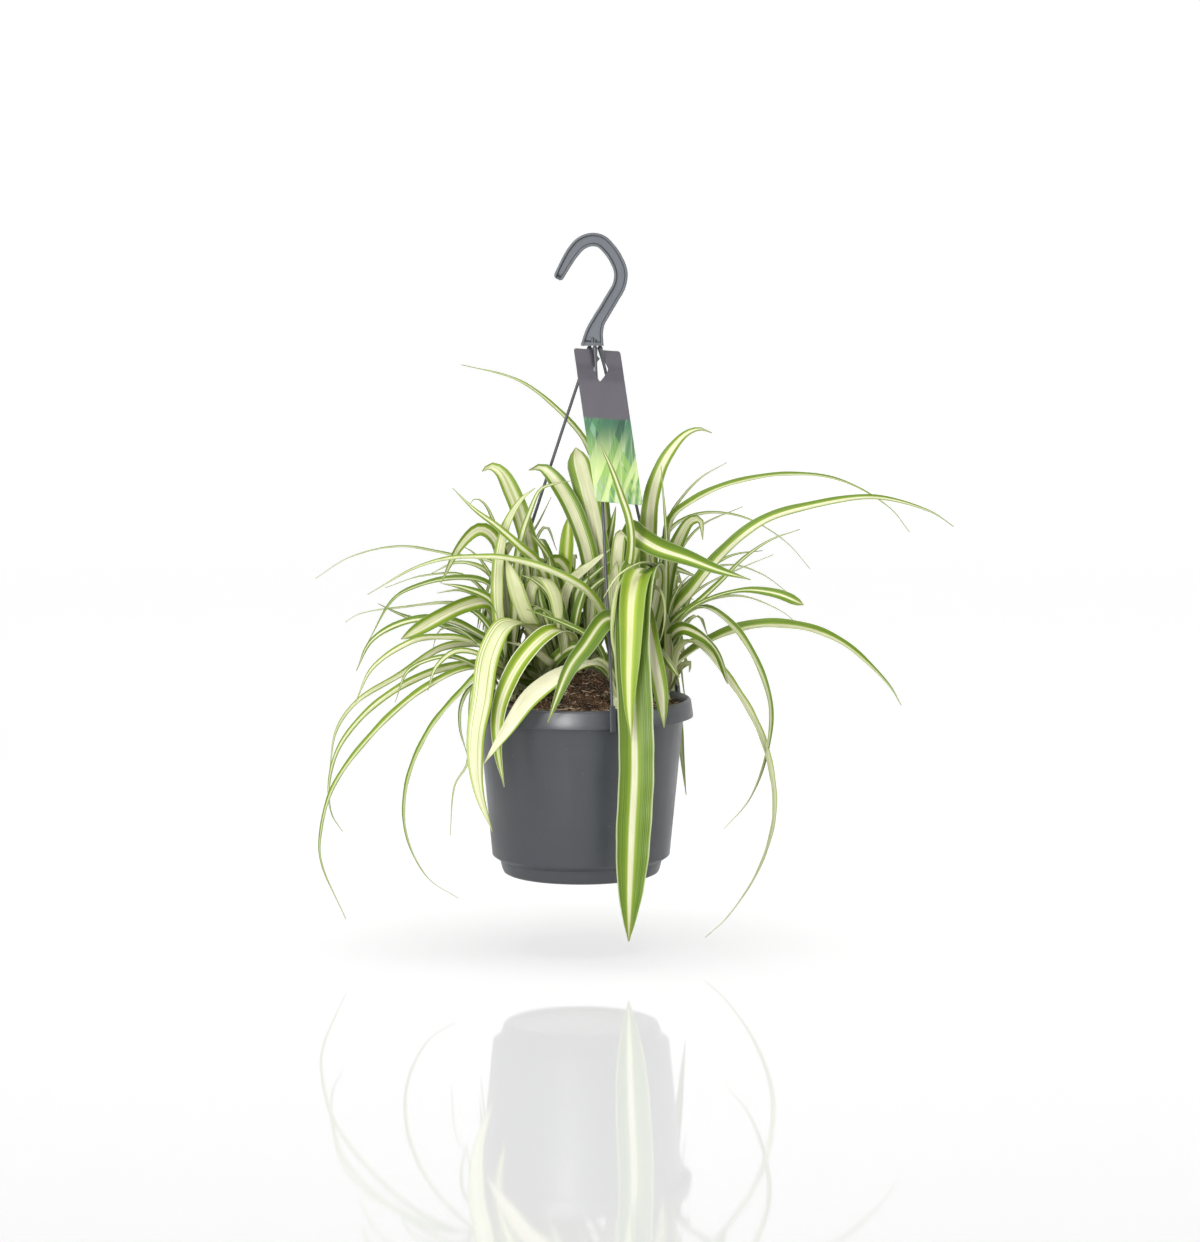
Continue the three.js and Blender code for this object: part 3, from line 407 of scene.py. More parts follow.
def moulded_plastic(name, colour, roughness, streaks):
    finish = Finish(name, roughness, Specular_IOR_Level=0.85)
    place = finish.place()
    flow = finish.noise(finish.stretched(place, (110, 110, 6)), detail=3)
    bands = finish.noise(finish.stretched(place, (2, 2, 150)), detail=2)
    cloud = finish.noise(place, scale=14, detail=4)
    grain = finish.noise(place, scale=1900, detail=2)
    tone = (flow - 0.5) * streaks + (bands - 0.5) * streaks + (cloud - 0.5) * 0.5
    shade = finish.mask(tone, -0.4, 0.4)
    body = finish.mix(shade, shaded(colour, 0.9), shaded(colour, 1.12))
    dust = finish.mask(finish.noise(place, scale=520, detail=1), 0.77, 0.82)
    finish.drive("Base Color", finish.mix(dust * 0.35, body, paint(150, 150, 146)))
    sheen = cloud + (flow - 0.5) * 0.4
    finish.drive("Roughness", finish.mask(sheen, 0.3, 0.7, roughness - 0.06, roughness + 0.09))
    finish.bump(grain * 0.35 + bands * 0.65, 0.00006)
    return finish.material


pot_finish = moulded_plastic("pot_grey_plastic", POT_GREY, roughness=0.37, streaks=0.3)
keep(pot, "pot_shell", [pot_finish], "pot", crease=50)

# %% [markdown]
# ## The plate above the water
# A perforated plate lies on the pot's inner ledge and keeps the soil out of the water. Nothing of
# it shows, so its CAD solid stays and only gets its finish.

# %% Plate finish
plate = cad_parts["reservoir_insert"]
plate_finish = moulded_plastic("plate_plastic", paint(44, 45, 48), roughness=0.55, streaks=0.3)
plate.data.materials.clear()
plate.data.materials.append(plate_finish)
print("plate keeps", len(plate.data.polygons), "CAD faces")

# %% [markdown]
# ## The soil
# Potting soil is peat: dark crumbs and short brown fibres, pressed level at the wall and heaped
# in the middle. The heap is a spun disc whose surface is lifted by two octaves of noise. Loose
# crumbs and fibres are strewn on it, because bump alone looks painted on where a surface is seen
# edge-on.

# %% Heap of soil
SOIL_EDGE = 126
SOIL_BOTTOM = 17.6
SOIL_RADIUS = 76.9
MOUND = 27
MOUND_CENTRE = (-4, 18)
MOUND_RADIUS = 66
SOIL_BANK = 3.4  # how much higher it lies against the right side of the rim
SOIL_SINK = 0.9
RELIEF = ((3, 0.11, 1.5), (9, 0.45, 0.9))  # layer, fineness and height of each octave of noise
SOIL_RINGS = 60
SOIL_STEPS = 150


def soil_height(x, y):
    away = math.hypot(x - MOUND_CENTRE[0], y - MOUND_CENTRE[1]) / MOUND_RADIUS
    return SOIL_EDGE + (MOUND * math.cos(away * math.pi / 2) ** 2 if away < 1 else 0)


def soil_surface(x, y):
    """The heap with its crumbly relief."""
    rough = sum(noise.noise(Vector((x, y, at)) * fine) * high for at, fine, high in RELIEF)
    banked = SOIL_BANK * smoothstep(x, 44, 62)
    return soil_height(x, y) + rough + banked - SOIL_SINK


soil = bmesh.new()
rings = [(SOIL_RADIUS * i / SOIL_RINGS, SOIL_EDGE) for i in range(SOIL_RINGS, -1, -1)]
buried = [(0, SOIL_BOTTOM), (LEDGE_RADIUS - 0.4, SOIL_BOTTOM), (SOIL_RADIUS - 1.5, SOIL_EDGE - 9)]
spun(soil, buried + rings, SOIL_STEPS)
for vertex in soil.verts:
    x, y, z = vertex.co
    if z > SOIL_EDGE - 0.01 and math.hypot(x, y) < SOIL_RADIUS - 0.2:
        vertex.co.z = soil_surface(x, y)
print("soil heap:", len(soil.verts), "vertices")

# %% Crumbs and fibres
CRUMBS = 950
FIBRES = 760
CRUMB_SIZES = (0.7, 2.3)
FIBRE_LENGTHS = (4, 13)
FIBRE_RADII = (0.16, 0.34)
FIBRE_STEPS = 3
STREWN_RADIUS = SOIL_RADIUS - 3
STREWN_HEIGHT = 4  # how far a crumb or fibre may stand up from the heap
ANY_TURN = 6.28  # near enough to a full turn for a random one

crumbs = bmesh.new()
draw = random.Random(5)


def soil_spot():
    """A random place on the heap, evenly strewn."""
    turn, share = draw.uniform(0, 2 * math.pi), math.sqrt(draw.uniform(0, 0.97))
    x, y = STREWN_RADIUS * share * math.cos(turn), STREWN_RADIUS * share * math.sin(turn)
    return Vector((x, y, soil_surface(x, y)))


for _ in range(CRUMBS):
    size = draw.uniform(*CRUMB_SIZES) * draw.uniform(0.6, 1)
    about_z, about_x = (Matrix.Rotation(draw.uniform(0, ANY_TURN), 4, axis) for axis in "ZX")
    shape = Matrix.Diagonal((size, size * draw.uniform(0.6, 1), size * draw.uniform(0.45, 0.9), 1))
    place = Matrix.Translation(soil_spot()) @ (about_z @ about_x) @ shape
    bmesh.ops.create_icosphere(crumbs, subdivisions=1, radius=1, matrix=place)

fibres = bmesh.new()
for _ in range(FIBRES):
    start = soil_spot()
    heading = draw.uniform(0, 2 * math.pi)
    length = draw.uniform(*FIBRE_LENGTHS)
    curl = draw.uniform(-0.9, 0.9)
    points = [start + Vector((0, 0, draw.uniform(-0.6, 0.6)))]
    for _ in range(FIBRE_STEPS):
        heading += curl
        way = Vector((math.cos(heading), math.sin(heading), draw.uniform(-0.3, 0.35)))
        points.append(points[-1] + way * length / FIBRE_STEPS)
    radius = draw.uniform(*FIBRE_RADII)
    sweep(fibres, [circle_of(p, way, radius, 4) for p, way in zip(points, directions(points))])
for bed in (crumbs, fibres):
    for vertex in bed.verts:
        reach = math.hypot(vertex.co.x, vertex.co.y) / (SOIL_RADIUS - 0.8)  # inside the wall
        if reach > 1:
            vertex.co.x /= reach
            vertex.co.y /= reach
        highest = soil_height(vertex.co.x, vertex.co.y) + STREWN_HEIGHT
        vertex.co.z = min(vertex.co.z, highest)
print("crumbs:", len(crumbs.verts), "vertices; fibres:", len(fibres.verts), "vertices")

# %% Soil finishes


def peat(name, dark, light, scale):
    finish = Finish(name, roughness=0.9, Specular_IOR_Level=0.25)
    place = finish.place()
    crumb = finish.noise(place, scale=scale, detail=4, roughness=0.65)
    patch = finish.noise(place, scale=70, detail=2)
    speck = finish.mask(finish.noise(place, scale=scale * 1.7, detail=1), 0.62, 0.68)
    body = finish.mix(finish.mask(crumb + (patch - 0.5) * 0.5, 0.32, 0.72), dark, light)
    finish.drive("Base Color", finish.mix(speck * 0.55, body, paint(204, 182, 152)))
    finish.bump(crumb, 0.0012)
    return finish.material


heap_finish = peat("peat_heap", paint(28, 21, 16), paint(104, 78, 58), scale=520)
crumb_finish = peat("peat_crumb", paint(38, 28, 21), paint(158, 124, 94), scale=300)
fibre_finish = peat("peat_fibre", paint(96, 70, 50), paint(236, 218, 192), scale=240)
keep(soil, "soil_heap", [heap_finish], "soil", crease=180)
keep(crumbs, "soil_crumbs", [crumb_finish], crease=25)
keep(fibres, "soil_fibres", [fibre_finish], crease=60)

# %% [markdown]
# ## The hook
# The hook is moulded flat: a web with a raised border on both faces, like a small I-beam bent
# into a question mark. Its section is swept along the middle line. Near the tip and the foot the
# web rises to the border's height, which closes the recess as the border's end does on the real
# one.

# %% Hook shape
HOOK_LINE = [
    (-17.4, 446.4, 3.7), (-11.8, 456.8, 4.3), (-6, 466.2, 4.8), (0.2, 472.8, 5), (7.6, 475.6, 5),
    (14.8, 474.4, 5), (20.6, 469.2, 5), (26, 461.4, 5), (29.7, 451.4, 5.1), (28.4, 441.6, 5),
    (23.2, 432.2, 5), (17.4, 422.4, 5), (12.9, 414.8, 5.2), (10, 407, 6.6), (8.5, 397, 8.6),
]
HOOK_DEPTH = 8.4
HOOK_WEB = 3.2
HOOK_BORDER = 1.9
HOOK_STATIONS = 110
HOOK_FOOT = 397
ROUNDING = 0.7
TIP_ROUNDING = 1.6
HALF_DEPTH = HOOK_DEPTH / 2

hook_route = Route([(x, 0, z) for x, z, _ in HOOK_LINE])


def hook_section(half, web):
    """The section's points: a quarter of it, which is mirrored twice."""
    top, inner = HALF_DEPTH, half - HOOK_BORDER
    quarter = [
        (half, 0), (half, top - ROUNDING), (half - ROUNDING * 0.3, top - ROUNDING * 0.3),
        (half - ROUNDING, top), (inner + 0.5, top), (inner + 0.15, top - 0.15), (inner, top - 0.5),
        (inner - 0.25, web + 0.3), (inner - 0.55, web), (0, web),
    ]
    left = [(-a, b) for a, b in reversed(quarter[:-1])]
    upper = quarter + left
    lower = [(a, -b) for a, b in reversed(upper[1:-1])]
    return upper + lower


stations = []
for i in range(HOOK_STATIONS + 1):
    share = i / HOOK_STATIONS
    t = hook_route.at_share(share)
    along = hook_route.tangent(t)
    if i == HOOK_STATIONS:
        along = Vector((0, 0, -1))
    row = t * (len(HOOK_LINE) - 1)
    before, after = HOOK_LINE[int(row)][2], HOOK_LINE[min(int(row) + 1, len(HOOK_LINE) - 1)][2]
    half = before + (after - before) * (row % 1)
    from_tip, from_foot = share * hook_route.length, (1 - share) * hook_route.length
    half -= TIP_ROUNDING * max(0, 1 - from_tip / TIP_ROUNDING)
    # The recess beside the web closes towards the tip and the foot.
    recess = smoothstep(from_tip, HOOK_BORDER, HOOK_BORDER + 0.8) * smoothstep(from_foot, 2.2, 3.0)
    web = HALF_DEPTH - 0.02 + (HOOK_WEB / 2 - HALF_DEPTH + 0.02) * recess
    side = Vector((-along.z, 0, along.x))
    centre = hook_route.point(t)
    stations.append([centre + side * a + Vector((0, b, 0)) for a, b in hook_section(half, web)])
hook = bmesh.new()
sweep(hook, stations)
print("hook swept over", len(stations), "stations,", round(hook_route.length), "mm")

# %% [markdown]
# The foot has a small upright rib in the middle of its recess on each face, and it is squared off
# by a low bar along its lower edge. Both are short rounded bars that sink into the swept body.

# %% Hook foot


def rounded_bar(bm, low, high, rounding):
    """A box between two corners with rounded edges."""
    size = [b - a for a, b in zip(low, high)]
    centre = [(a + b) / 2 for a, b in zip(low, high)]
    place = Matrix.Translation(centre) @ Matrix.Diagonal((*size, 1))
    corners = bmesh.ops.create_cube(bm, size=1, matrix=place)["verts"]
    edges = list({edge for corner in corners for edge in corner.link_edges})
    bevel(bm, edges, rounding, segments=3)


# Each bar: its left, right, lower and upper side, its play to the border's faces, its rounding.
for left, right, lower, upper, play, rounding in (
    (0.1, 16.7, HOOK_FOOT, HOOK_FOOT + 2.6, 0.05, 0.8),
    (7.6, 9.4, HOOK_FOOT + 1, HOOK_FOOT + 6.4, 0.5, 0.6),
):
    depth = HALF_DEPTH - play
    rounded_bar(hook, (left, -depth, lower), (right, depth, upper), rounding)


def hook_finish():
    """Satin grey: the web is a little lighter than the border, and painted shade darkens the walls
    of the recess.
    """
    finish = Finish("hook_grey_plastic", roughness=0.36)
    place = finish.place()
    depth = abs(finish.parts(place)[1])
    cloud = finish.noise(place, scale=60, detail=3)
    # Painted shade: the walls of the recess, between the web and the border's top, are darkened as
    # if in shadow.
    recess_shade = finish.mask(depth, 0.0015, 0.0019) * finish.mask(depth, 0.0033, 0.0038, 1.0, 0.0)
    web = finish.mask(depth, 0.0015, 0.0019, 1.0, 0.0)
    border = finish.mix(cloud, paint(76, 81, 84), paint(93, 97, 101))
    body = finish.mix(web, border, finish.mix(cloud, paint(89, 94, 101), paint(104, 109, 118)))
    # Painted shade: the body is mixed towards a dark grey on the recess's walls.
    finish.drive("Base Color", finish.mix(recess_shade * 0.75, body, paint(46, 49, 52)))
    finish.drive("Roughness", finish.mask(cloud, 0.3, 0.7, 0.34, 0.46))
    finish.bump(finish.noise(place, scale=1500, detail=2), 0.00004)
    return finish.material


keep(hook, "hook_moulding", [hook_finish()], "hook", crease=35)

# %% [markdown]
# ## The three legs
# Each leg is a thin strand of the same plastic. It leaves a thick stub under the hook's foot,
# thins out, and ends in a flat clip that reaches over the rim's skirt and turns under it. The
# strand is a round section swept along a nearly straight line; the clip is a flat outline given
# its width.

# %% Leg shapes
LEG_RADIUS = 1.15
LEG_SIDES = 16
LEG_STEPS = 40
STUB_RADIUS = 2
STUB_LENGTH = 14
LEG_START = 1.5  # how far under the hook's foot the strand begins to lean
LEG_BOW = 1.5  # how far its middle bows outwards
GAP = 0.3
SOCKET = 5
CLIP_WIDTH = 4.2
CLIP_THICKNESS = 1.5
CLIP_REACH = 4.6
CLIP_LIP = 4.2
RIM_PLACE = RIM_RADIUS + 1.6  # radius at which a leg's middle line meets its clip
# Each leg: its azimuth at the rim, in degrees from the front, and the place of its socket.
LEGS = {
    "leg_front": (16, (10.4, -2.3)),
    "leg_right": (120, (14.2, 0.8)),
    "leg_left": (-112, (6.6, 1.6)),
}


def leg_strand(bm, azimuth, socket):
    turn = math.radians(azimuth)
    out = Vector((math.sin(turn), -math.cos(turn), 0))
    start = Vector((*socket, HOOK_FOOT - LEG_START))
    rim = out * RIM_PLACE + Vector((0, 0, POT_HEIGHT + 1))
    bow = (start + rim) / 2 + out * LEG_BOW
    shares = [i / LEG_STEPS for i in range(LEG_STEPS + 1)]
    line = [start.lerp(bow, s).lerp(bow.lerp(rim, s), s) for s in shares]
    down = Vector((0, 0, -1))
    pin = [Vector((*socket, HOOK_FOOT + end - GAP)) for end in (SOCKET, 0)]
    rings = [circle_of(end, down, LEG_RADIUS, LEG_SIDES) for end in pin]
    for place, along in zip(line, directions(line)):
        below = HOOK_FOOT - GAP - place.z
        stub = (STUB_RADIUS - LEG_RADIUS) * (1 - smoothstep(below, 0.6, STUB_LENGTH))
        rings.append(circle_of(place, along, LEG_RADIUS + stub, LEG_SIDES))
    sweep(bm, rings)


def leg_clip(bm, azimuth):
    """The clip, in a mesh that is still empty: a flat outline that is given its width."""
    inside = SKIRT_RADIUS + 0.5
    outside = inside + CLIP_THICKNESS
    hooked = outside - CLIP_REACH
    under = UNDER_RIM - GAP
    lip = under + CLIP_LIP - CLIP_THICKNESS
    outline = [
        (RIM_PLACE + LEG_RADIUS, POT_HEIGHT + 4), (outside, under),
        (outside, under - CLIP_THICKNESS), (hooked - CLIP_THICKNESS, under - CLIP_THICKNESS),
        (hooked - CLIP_THICKNESS, lip), (hooked, lip), (hooked, under), (inside, under),
        (RIM_RADIUS + 0.7, POT_HEIGHT + 0.4), (RIM_RADIUS + 0.6, POT_HEIGHT + 4),
    ]
    face = bm.faces.new([bm.verts.new((r, -CLIP_WIDTH / 2, z)) for r, z in outline])
    grown = bmesh.ops.extrude_face_region(bm, geom=[face])["geom"]
    bmesh.ops.translate(bm, verts=verts_in(grown), vec=(0, CLIP_WIDTH, 0))
    bmesh.ops.recalc_face_normals(bm, faces=bm.faces)
    soften(bm, width=0.3, segments=2, sharpest=40)
    turn = Matrix.Rotation(math.radians(azimuth - 90), 3, "Z")
    bmesh.ops.rotate(bm, verts=bm.verts, cent=(0, 0, 0), matrix=turn)


leg_finish = moulded_plastic("leg_grey_plastic", paint(54, 57, 62), roughness=0.4, streaks=0.2)
for name, (azimuth, socket) in LEGS.items():
    leg = bmesh.new()
    leg_clip(leg, azimuth)
    leg_strand(leg, azimuth, socket)
    keep(leg, f"{name}_strand", [leg_finish], name, crease=35)

# %% [markdown]
# ## The hang tag
# The tag is a printed plastic sheet, threaded on the legs through a punched hole with a slit up
# to its edge. Its outline is one face, because the slit opens the hole to the edge. The face is
# cut into bands and only then laid onto the bent sheet, so that the bend is smooth.

# %% Tag shape
TAG_CORNER = (-5.2, 12.4, 395.6)
TAG_ACROSS = (34.4, -29, -3.6)
TAG_DOWN = (17.2, 35.6, -115)
TAG_BEND, TAG_BEND_FROM, TAG_BEND_TO = 7.6, 0.09, 0.2
TAG_THICKNESS = 0.6
TAG_BANDS = 60
TAG_COLUMNS = 8
TAG_HOLE = [
    (0.452, 0), (0.47, 0.034), (0.53, 0.058), (0.45, 0.082), (0.375, 0.112), (0.362, 0.13),
    (0.375, 0.147), (0.44, 0.192), (0.462, 0.2), (0.49, 0.194), (0.66, 0.138), (0.685, 0.12),
    (0.675, 0.104), (0.645, 0.08), (0.64, 0.05), (0.575, 0.03), (0.582, 0),
]
TAG_OUTLINE = [
    (0.04, 0), *TAG_HOLE, (0.96, 0), (0.988, 0.004), (1, 0.014), (1, 0.964), (0.988, 0.972),
    (0.96, 0.975), (0.04, 0.962), (0.012, 0.959), (0, 0.95), (0, 0.014), (0.012, 0.004),
]


def on_tag(u, v):
    x, depth, z = (c + u * a + v * d for c, a, d in zip(TAG_CORNER, TAG_ACROSS, TAG_DOWN))
    return Vector((x, -depth - TAG_BEND * smoothstep(v, TAG_BEND_FROM, TAG_BEND_TO), z))


tag = bmesh.new()
tag.faces.new([tag.verts.new((u, 0, -v)) for u, v in TAG_OUTLINE])
for cuts, sign, square in ((TAG_BANDS, -1, (0, 0, 1)), (TAG_COLUMNS, 1, (1, 0, 0))):
    for i in range(1, cuts):
        geom = tag.verts[:] + tag.edges[:] + tag.faces[:]
        cut = Vector(square) * (sign * i / cuts)
        bmesh.ops.bisect_plane(tag, geom=geom, dist=1e-5, plane_co=cut, plane_no=square)
uv = tag.loops.layers.uv.new("UVMap")
for face in tag.faces:
    for loop in face.loops:
        loop[uv].uv = (loop.vert.co.x, -loop.vert.co.z)
back = bmesh.ops.extrude_face_region(tag, geom=tag.faces[:], use_keep_orig=True)["geom"]
back_verts = set(verts_in(back))
across, down = (Vector((x, -depth, z)) for x, depth, z in (TAG_ACROSS, TAG_DOWN))
thickness_way = across.cross(down).normalized()
for vertex in tag.verts:
    offset = TAG_THICKNESS / 2 * (1 if vertex in back_verts else -1)
    vertex.co = on_tag(vertex.co.x, -vertex.co.z) + thickness_way * offset
bmesh.ops.recalc_face_normals(tag, faces=tag.faces)
print("tag:", len(tag.faces), "faces in", TAG_BANDS, "bands")

# %% [markdown]
# The print is a generic one: a dark head, and below it soft green blades of grass that cross at a
# slant and grow paler downwards. Each set of streaks is noise that was squeezed across and pulled
# along its own direction, and thin bright ones lie over the others.

# %% Tag finish
tag_print = Finish("tag_print", roughness=0.32, Coat_Roughness=0.15, Coat_Weight=0.25)
u, v, _ = tag_print.parts(tag_print.surface())


def streaks(slant, width, length, seed, low, high):
    """A mask of streaks that run down the sheet at a slant."""
    squeezed = tag_print.vector((u + v * slant) * width, v * length, seed)
    return tag_print.mask(tag_print.noise(squeezed, detail=1.5, roughness=0.4), low, high)


fade = tag_print.mask(v, 0.45, 0.8)
deep = tag_print.mix(fade, paint(30, 74, 54), paint(96, 148, 84))
pale = tag_print.mix(fade, paint(104, 156, 122), paint(196, 216, 164))
grass = tag_print.mix(streaks(0.9, 8, 1.2, 2.0, 0.4, 0.62), deep, pale)
for blades, upper, lower in (
    (streaks(-1.3, 6, 1.0, 7.0, 0.53, 0.57), (58, 116, 66), (150, 190, 84)),
    (streaks(1.6, 5, 1.0, 12.0, 0.57, 0.6), (46, 98, 70), (206, 224, 150)),
):
    tint = tag_print.mix(fade, paint(*upper), paint(*lower))
    grass = tag_print.mix(blades * 0.8, grass, tint)
fine = streaks(0.3, 26, 1.1, 4.0, 0.6, 0.7)
grass = tag_print.mix(fine * fade * 0.7, grass, paint(232, 240, 208))
head_cloud = tag_print.noise(tag_print.surface(), scale=3, detail=2)
head = tag_print.mix(head_cloud, paint(78, 75, 82), paint(92, 88, 96))
tag_print.drive("Base Color", tag_print.mix(tag_print.mask(v, 0.425, 0.45), head, grass))
tag_print.bump(tag_print.noise(tag_print.place(), scale=160, detail=2), 0.0002, 0.3)
keep(tag, "tag_sheet", [tag_print.material], "tag", crease=40)

# %% [markdown]
# ## One leaf
# A spider plant's leaf is a long strap, folded into a channel where it leaves the crown and
# nearly flat further out, widest before its middle and drawn out to a point. It starts as a grid,
# one of Blender's own shapes, whose columns run across the leaf and whose rows run along it. Each
# row is then set across the leaf's route. The grid's own x and y become the UV map before it is
# bent, so that stripes painted on UV follow the leaf however it turns.

# %% Laying a grid along a route
EYE = Vector((14, -3000, 512))
LEAF_FULL = 0.5
LEAF_THICKNESS = 0.45
LEAF_COLUMNS = 8
ROW_SPACING = 4.6
LEAF_BASE, LEAF_BASE_LESS = 0.72, 0.22  # share of the width at the base, less for a wide leaf
NARROW_TIP = 0.035  # the least share of the width
RIPPLE = 0.05  # height of the ripples along a leaf's margins, for its half width
SLENDER = (13, 26)  # length over width, from where a leaf draws out sooner


def seen(x, z, depth):
    """The true place of a point that is seen at x, z and stands before the pot's axis."""
    share = (-EYE.y - depth) / -EYE.y
    return Vector((EYE.x + (x - EYE.x) * share, -depth, EYE.z + (z - EYE.z) * share))


def leaf_width(share, width, length, full=LEAF_FULL, base=None, start=0, until=0.34):
    """The leaf's width at a share of its length: long slender leaves start to draw out sooner.

    It is full wide up to the share full. Its base has its own share of the width, and it widens
    between the shares start and until.
    """
    if base is None:
        base = LEAF_BASE - LEAF_BASE_LESS * smoothstep(width, 12, 18)
    grow = base + (1 - base) * smoothstep(share, start, until)
    slender = smoothstep(length / width, *SLENDER) if full == LEAF_FULL else -0.6
    full -= 0.22 * max(slender, 0)
    taper = 1 if share < full else 1 - ((share - full) / (1 - full)) ** (2.2 - slender)
    return width * grow * max(taper, NARROW_TIP)


def channel_depth(share):
    """How deep a leaf's channel is for its half width: deep at the crown, shallow at the tip."""
    return 0.34 + 0.42 * (1 - smoothstep(share, 0.02, 0.35)) - 0.16 * smoothstep(share, 0.5, 1)


def leaf_roll(route, across, face):
    """The turn about its line that shows the wanted share of a leaf's upper side to the front."""
    if face is None:
        return 0
    middle = route.tangent(route.at_share(0.55))
    side = (across - across.dot(middle) * middle).normalized()
    upper = middle.cross(side)
    reach = math.hypot(upper.y, side.y)
    swing = math.acos(max(-1, min(1, face / reach)))
    phase = math.atan2(side.y, -upper.y)
    turns = [math.remainder(phase + sign * swing, 2 * math.pi) for sign in (1, -1)]
    return min(turns, key=abs)


def add_leaf(bm, points, width, face, outline, look, draw):
    """Lays one leaf's grid along a route, with its look in the mesh's attributes."""
    route = Route(points)
    root = route.points[0]
    far = max(route.points, key=lambda p: math.hypot(p.x - root.x, p.y - root.y))
    heading = Vector((far.x - root.x, far.y - root.y, 0)).normalized()
    across = Vector((0, 0, 1)).cross(heading)
    roll = leaf_roll(route, across, face)
    rows = max(12, round(route.length / ROW_SPACING))
    ripple, wave = draw.uniform(0, ANY_TURN), draw.uniform(22, 38)
    phase = draw.uniform(0, 50)
    grid = bmesh.ops.create_grid(bm, x_segments=LEAF_COLUMNS, y_segments=rows, size=1)["verts"]
    uv = bm.loops.layers.uv.verify()
    for loop in {loop for vertex in grid for loop in vertex.link_loops}:
        loop[uv].uv = (loop.vert.co.x / 2 + 0.5, loop.vert.co.y / 2 + 0.5)
    stations = {}
    for vertex in grid:
        u, share = vertex.co.x, vertex.co.y / 2 + 0.5
        key = round(share * rows)
        if key not in stations:
            t = route.at_share(key / rows)
            along = route.tangent(t)
            side = (across - across.dot(along) * along).normalized()
            side = Matrix.Rotation(roll * smoothstep(key / rows, 0, 0.3), 3, along) @ side
            stations[key] = (route.point(t), side, along.cross(side))
        centre, side, upper = stations[key]
        reach = leaf_width(share, width, route.length, *outline) / 2
        channel = channel_depth(share)
        lift = reach * channel * abs(u) ** 1.5
        swell = share * route.length / wave * ANY_TURN + ripple + (2 if u > 0 else 0)
        lift += reach * RIPPLE * u * u * math.sin(swell)
        vertex.co = centre - side * u * reach * (1 - 0.12 * channel) + upper * lift
        vertex[bm.verts.layers.float_color["look"]] = look[:4]
        vertex[bm.verts.layers.float["shift"]] = look[4]
        vertex[bm.verts.layers.float["phase"]] = phase


print("leaf grid:", LEAF_COLUMNS, "columns, a row each", ROW_SPACING, "mm")

# %% [markdown]
# ## Leaf finish
# Every leaf is green with a cream middle stripe, but no two are alike: some are nearly all cream
# with a few green hairlines, others green with a thin stripe. Five numbers on each leaf say how
# it looks: the stripe's half width, how yellow its green is, how many green lines run in the
# cream, how pale its margin is, and how far the stripe stands off the middle. A sixth shifts the
# noise, so that no two leaves repeat.

# %% Leaf colours
LOOKS = {
    "striped": (0.36, 0.42, 0.5, 0.25, 0),
    "dark": (0.24, 0.15, 0.3, 0.25, 0),
    "thin": (0.15, 0.2, 0.1, 0.2, 0),
    "lime": (0.26, 0.95, 0.3, 0.2, 0),
    "big": (0.19, 0.15, 0.1, 0.5, 0),
    "cream": (0.92, 0.35, 0.12, 0.05, 0.24),
    "lined": (0.9, 0.5, 1.3, 0, 0.06),
    "frosted": (0.54, 0.04, 1.2, 0.2, 0),
    "milky": (0.46, 0.45, 0.35, 0.1, 0),
    "pale": (0.72, 0.5, 0.75, 0.3, 0),
    "broad": (0.5, 0.42, 0.7, 0.2, 0),
    "grey": (0.45, 0.15, 0.9, 0.4, 0),
    "edged": (0.3, 0.8, 0.4, 1.0, 0),
    "offset": (0.45, 0.3, 0.6, 0.2, 0.4),
}


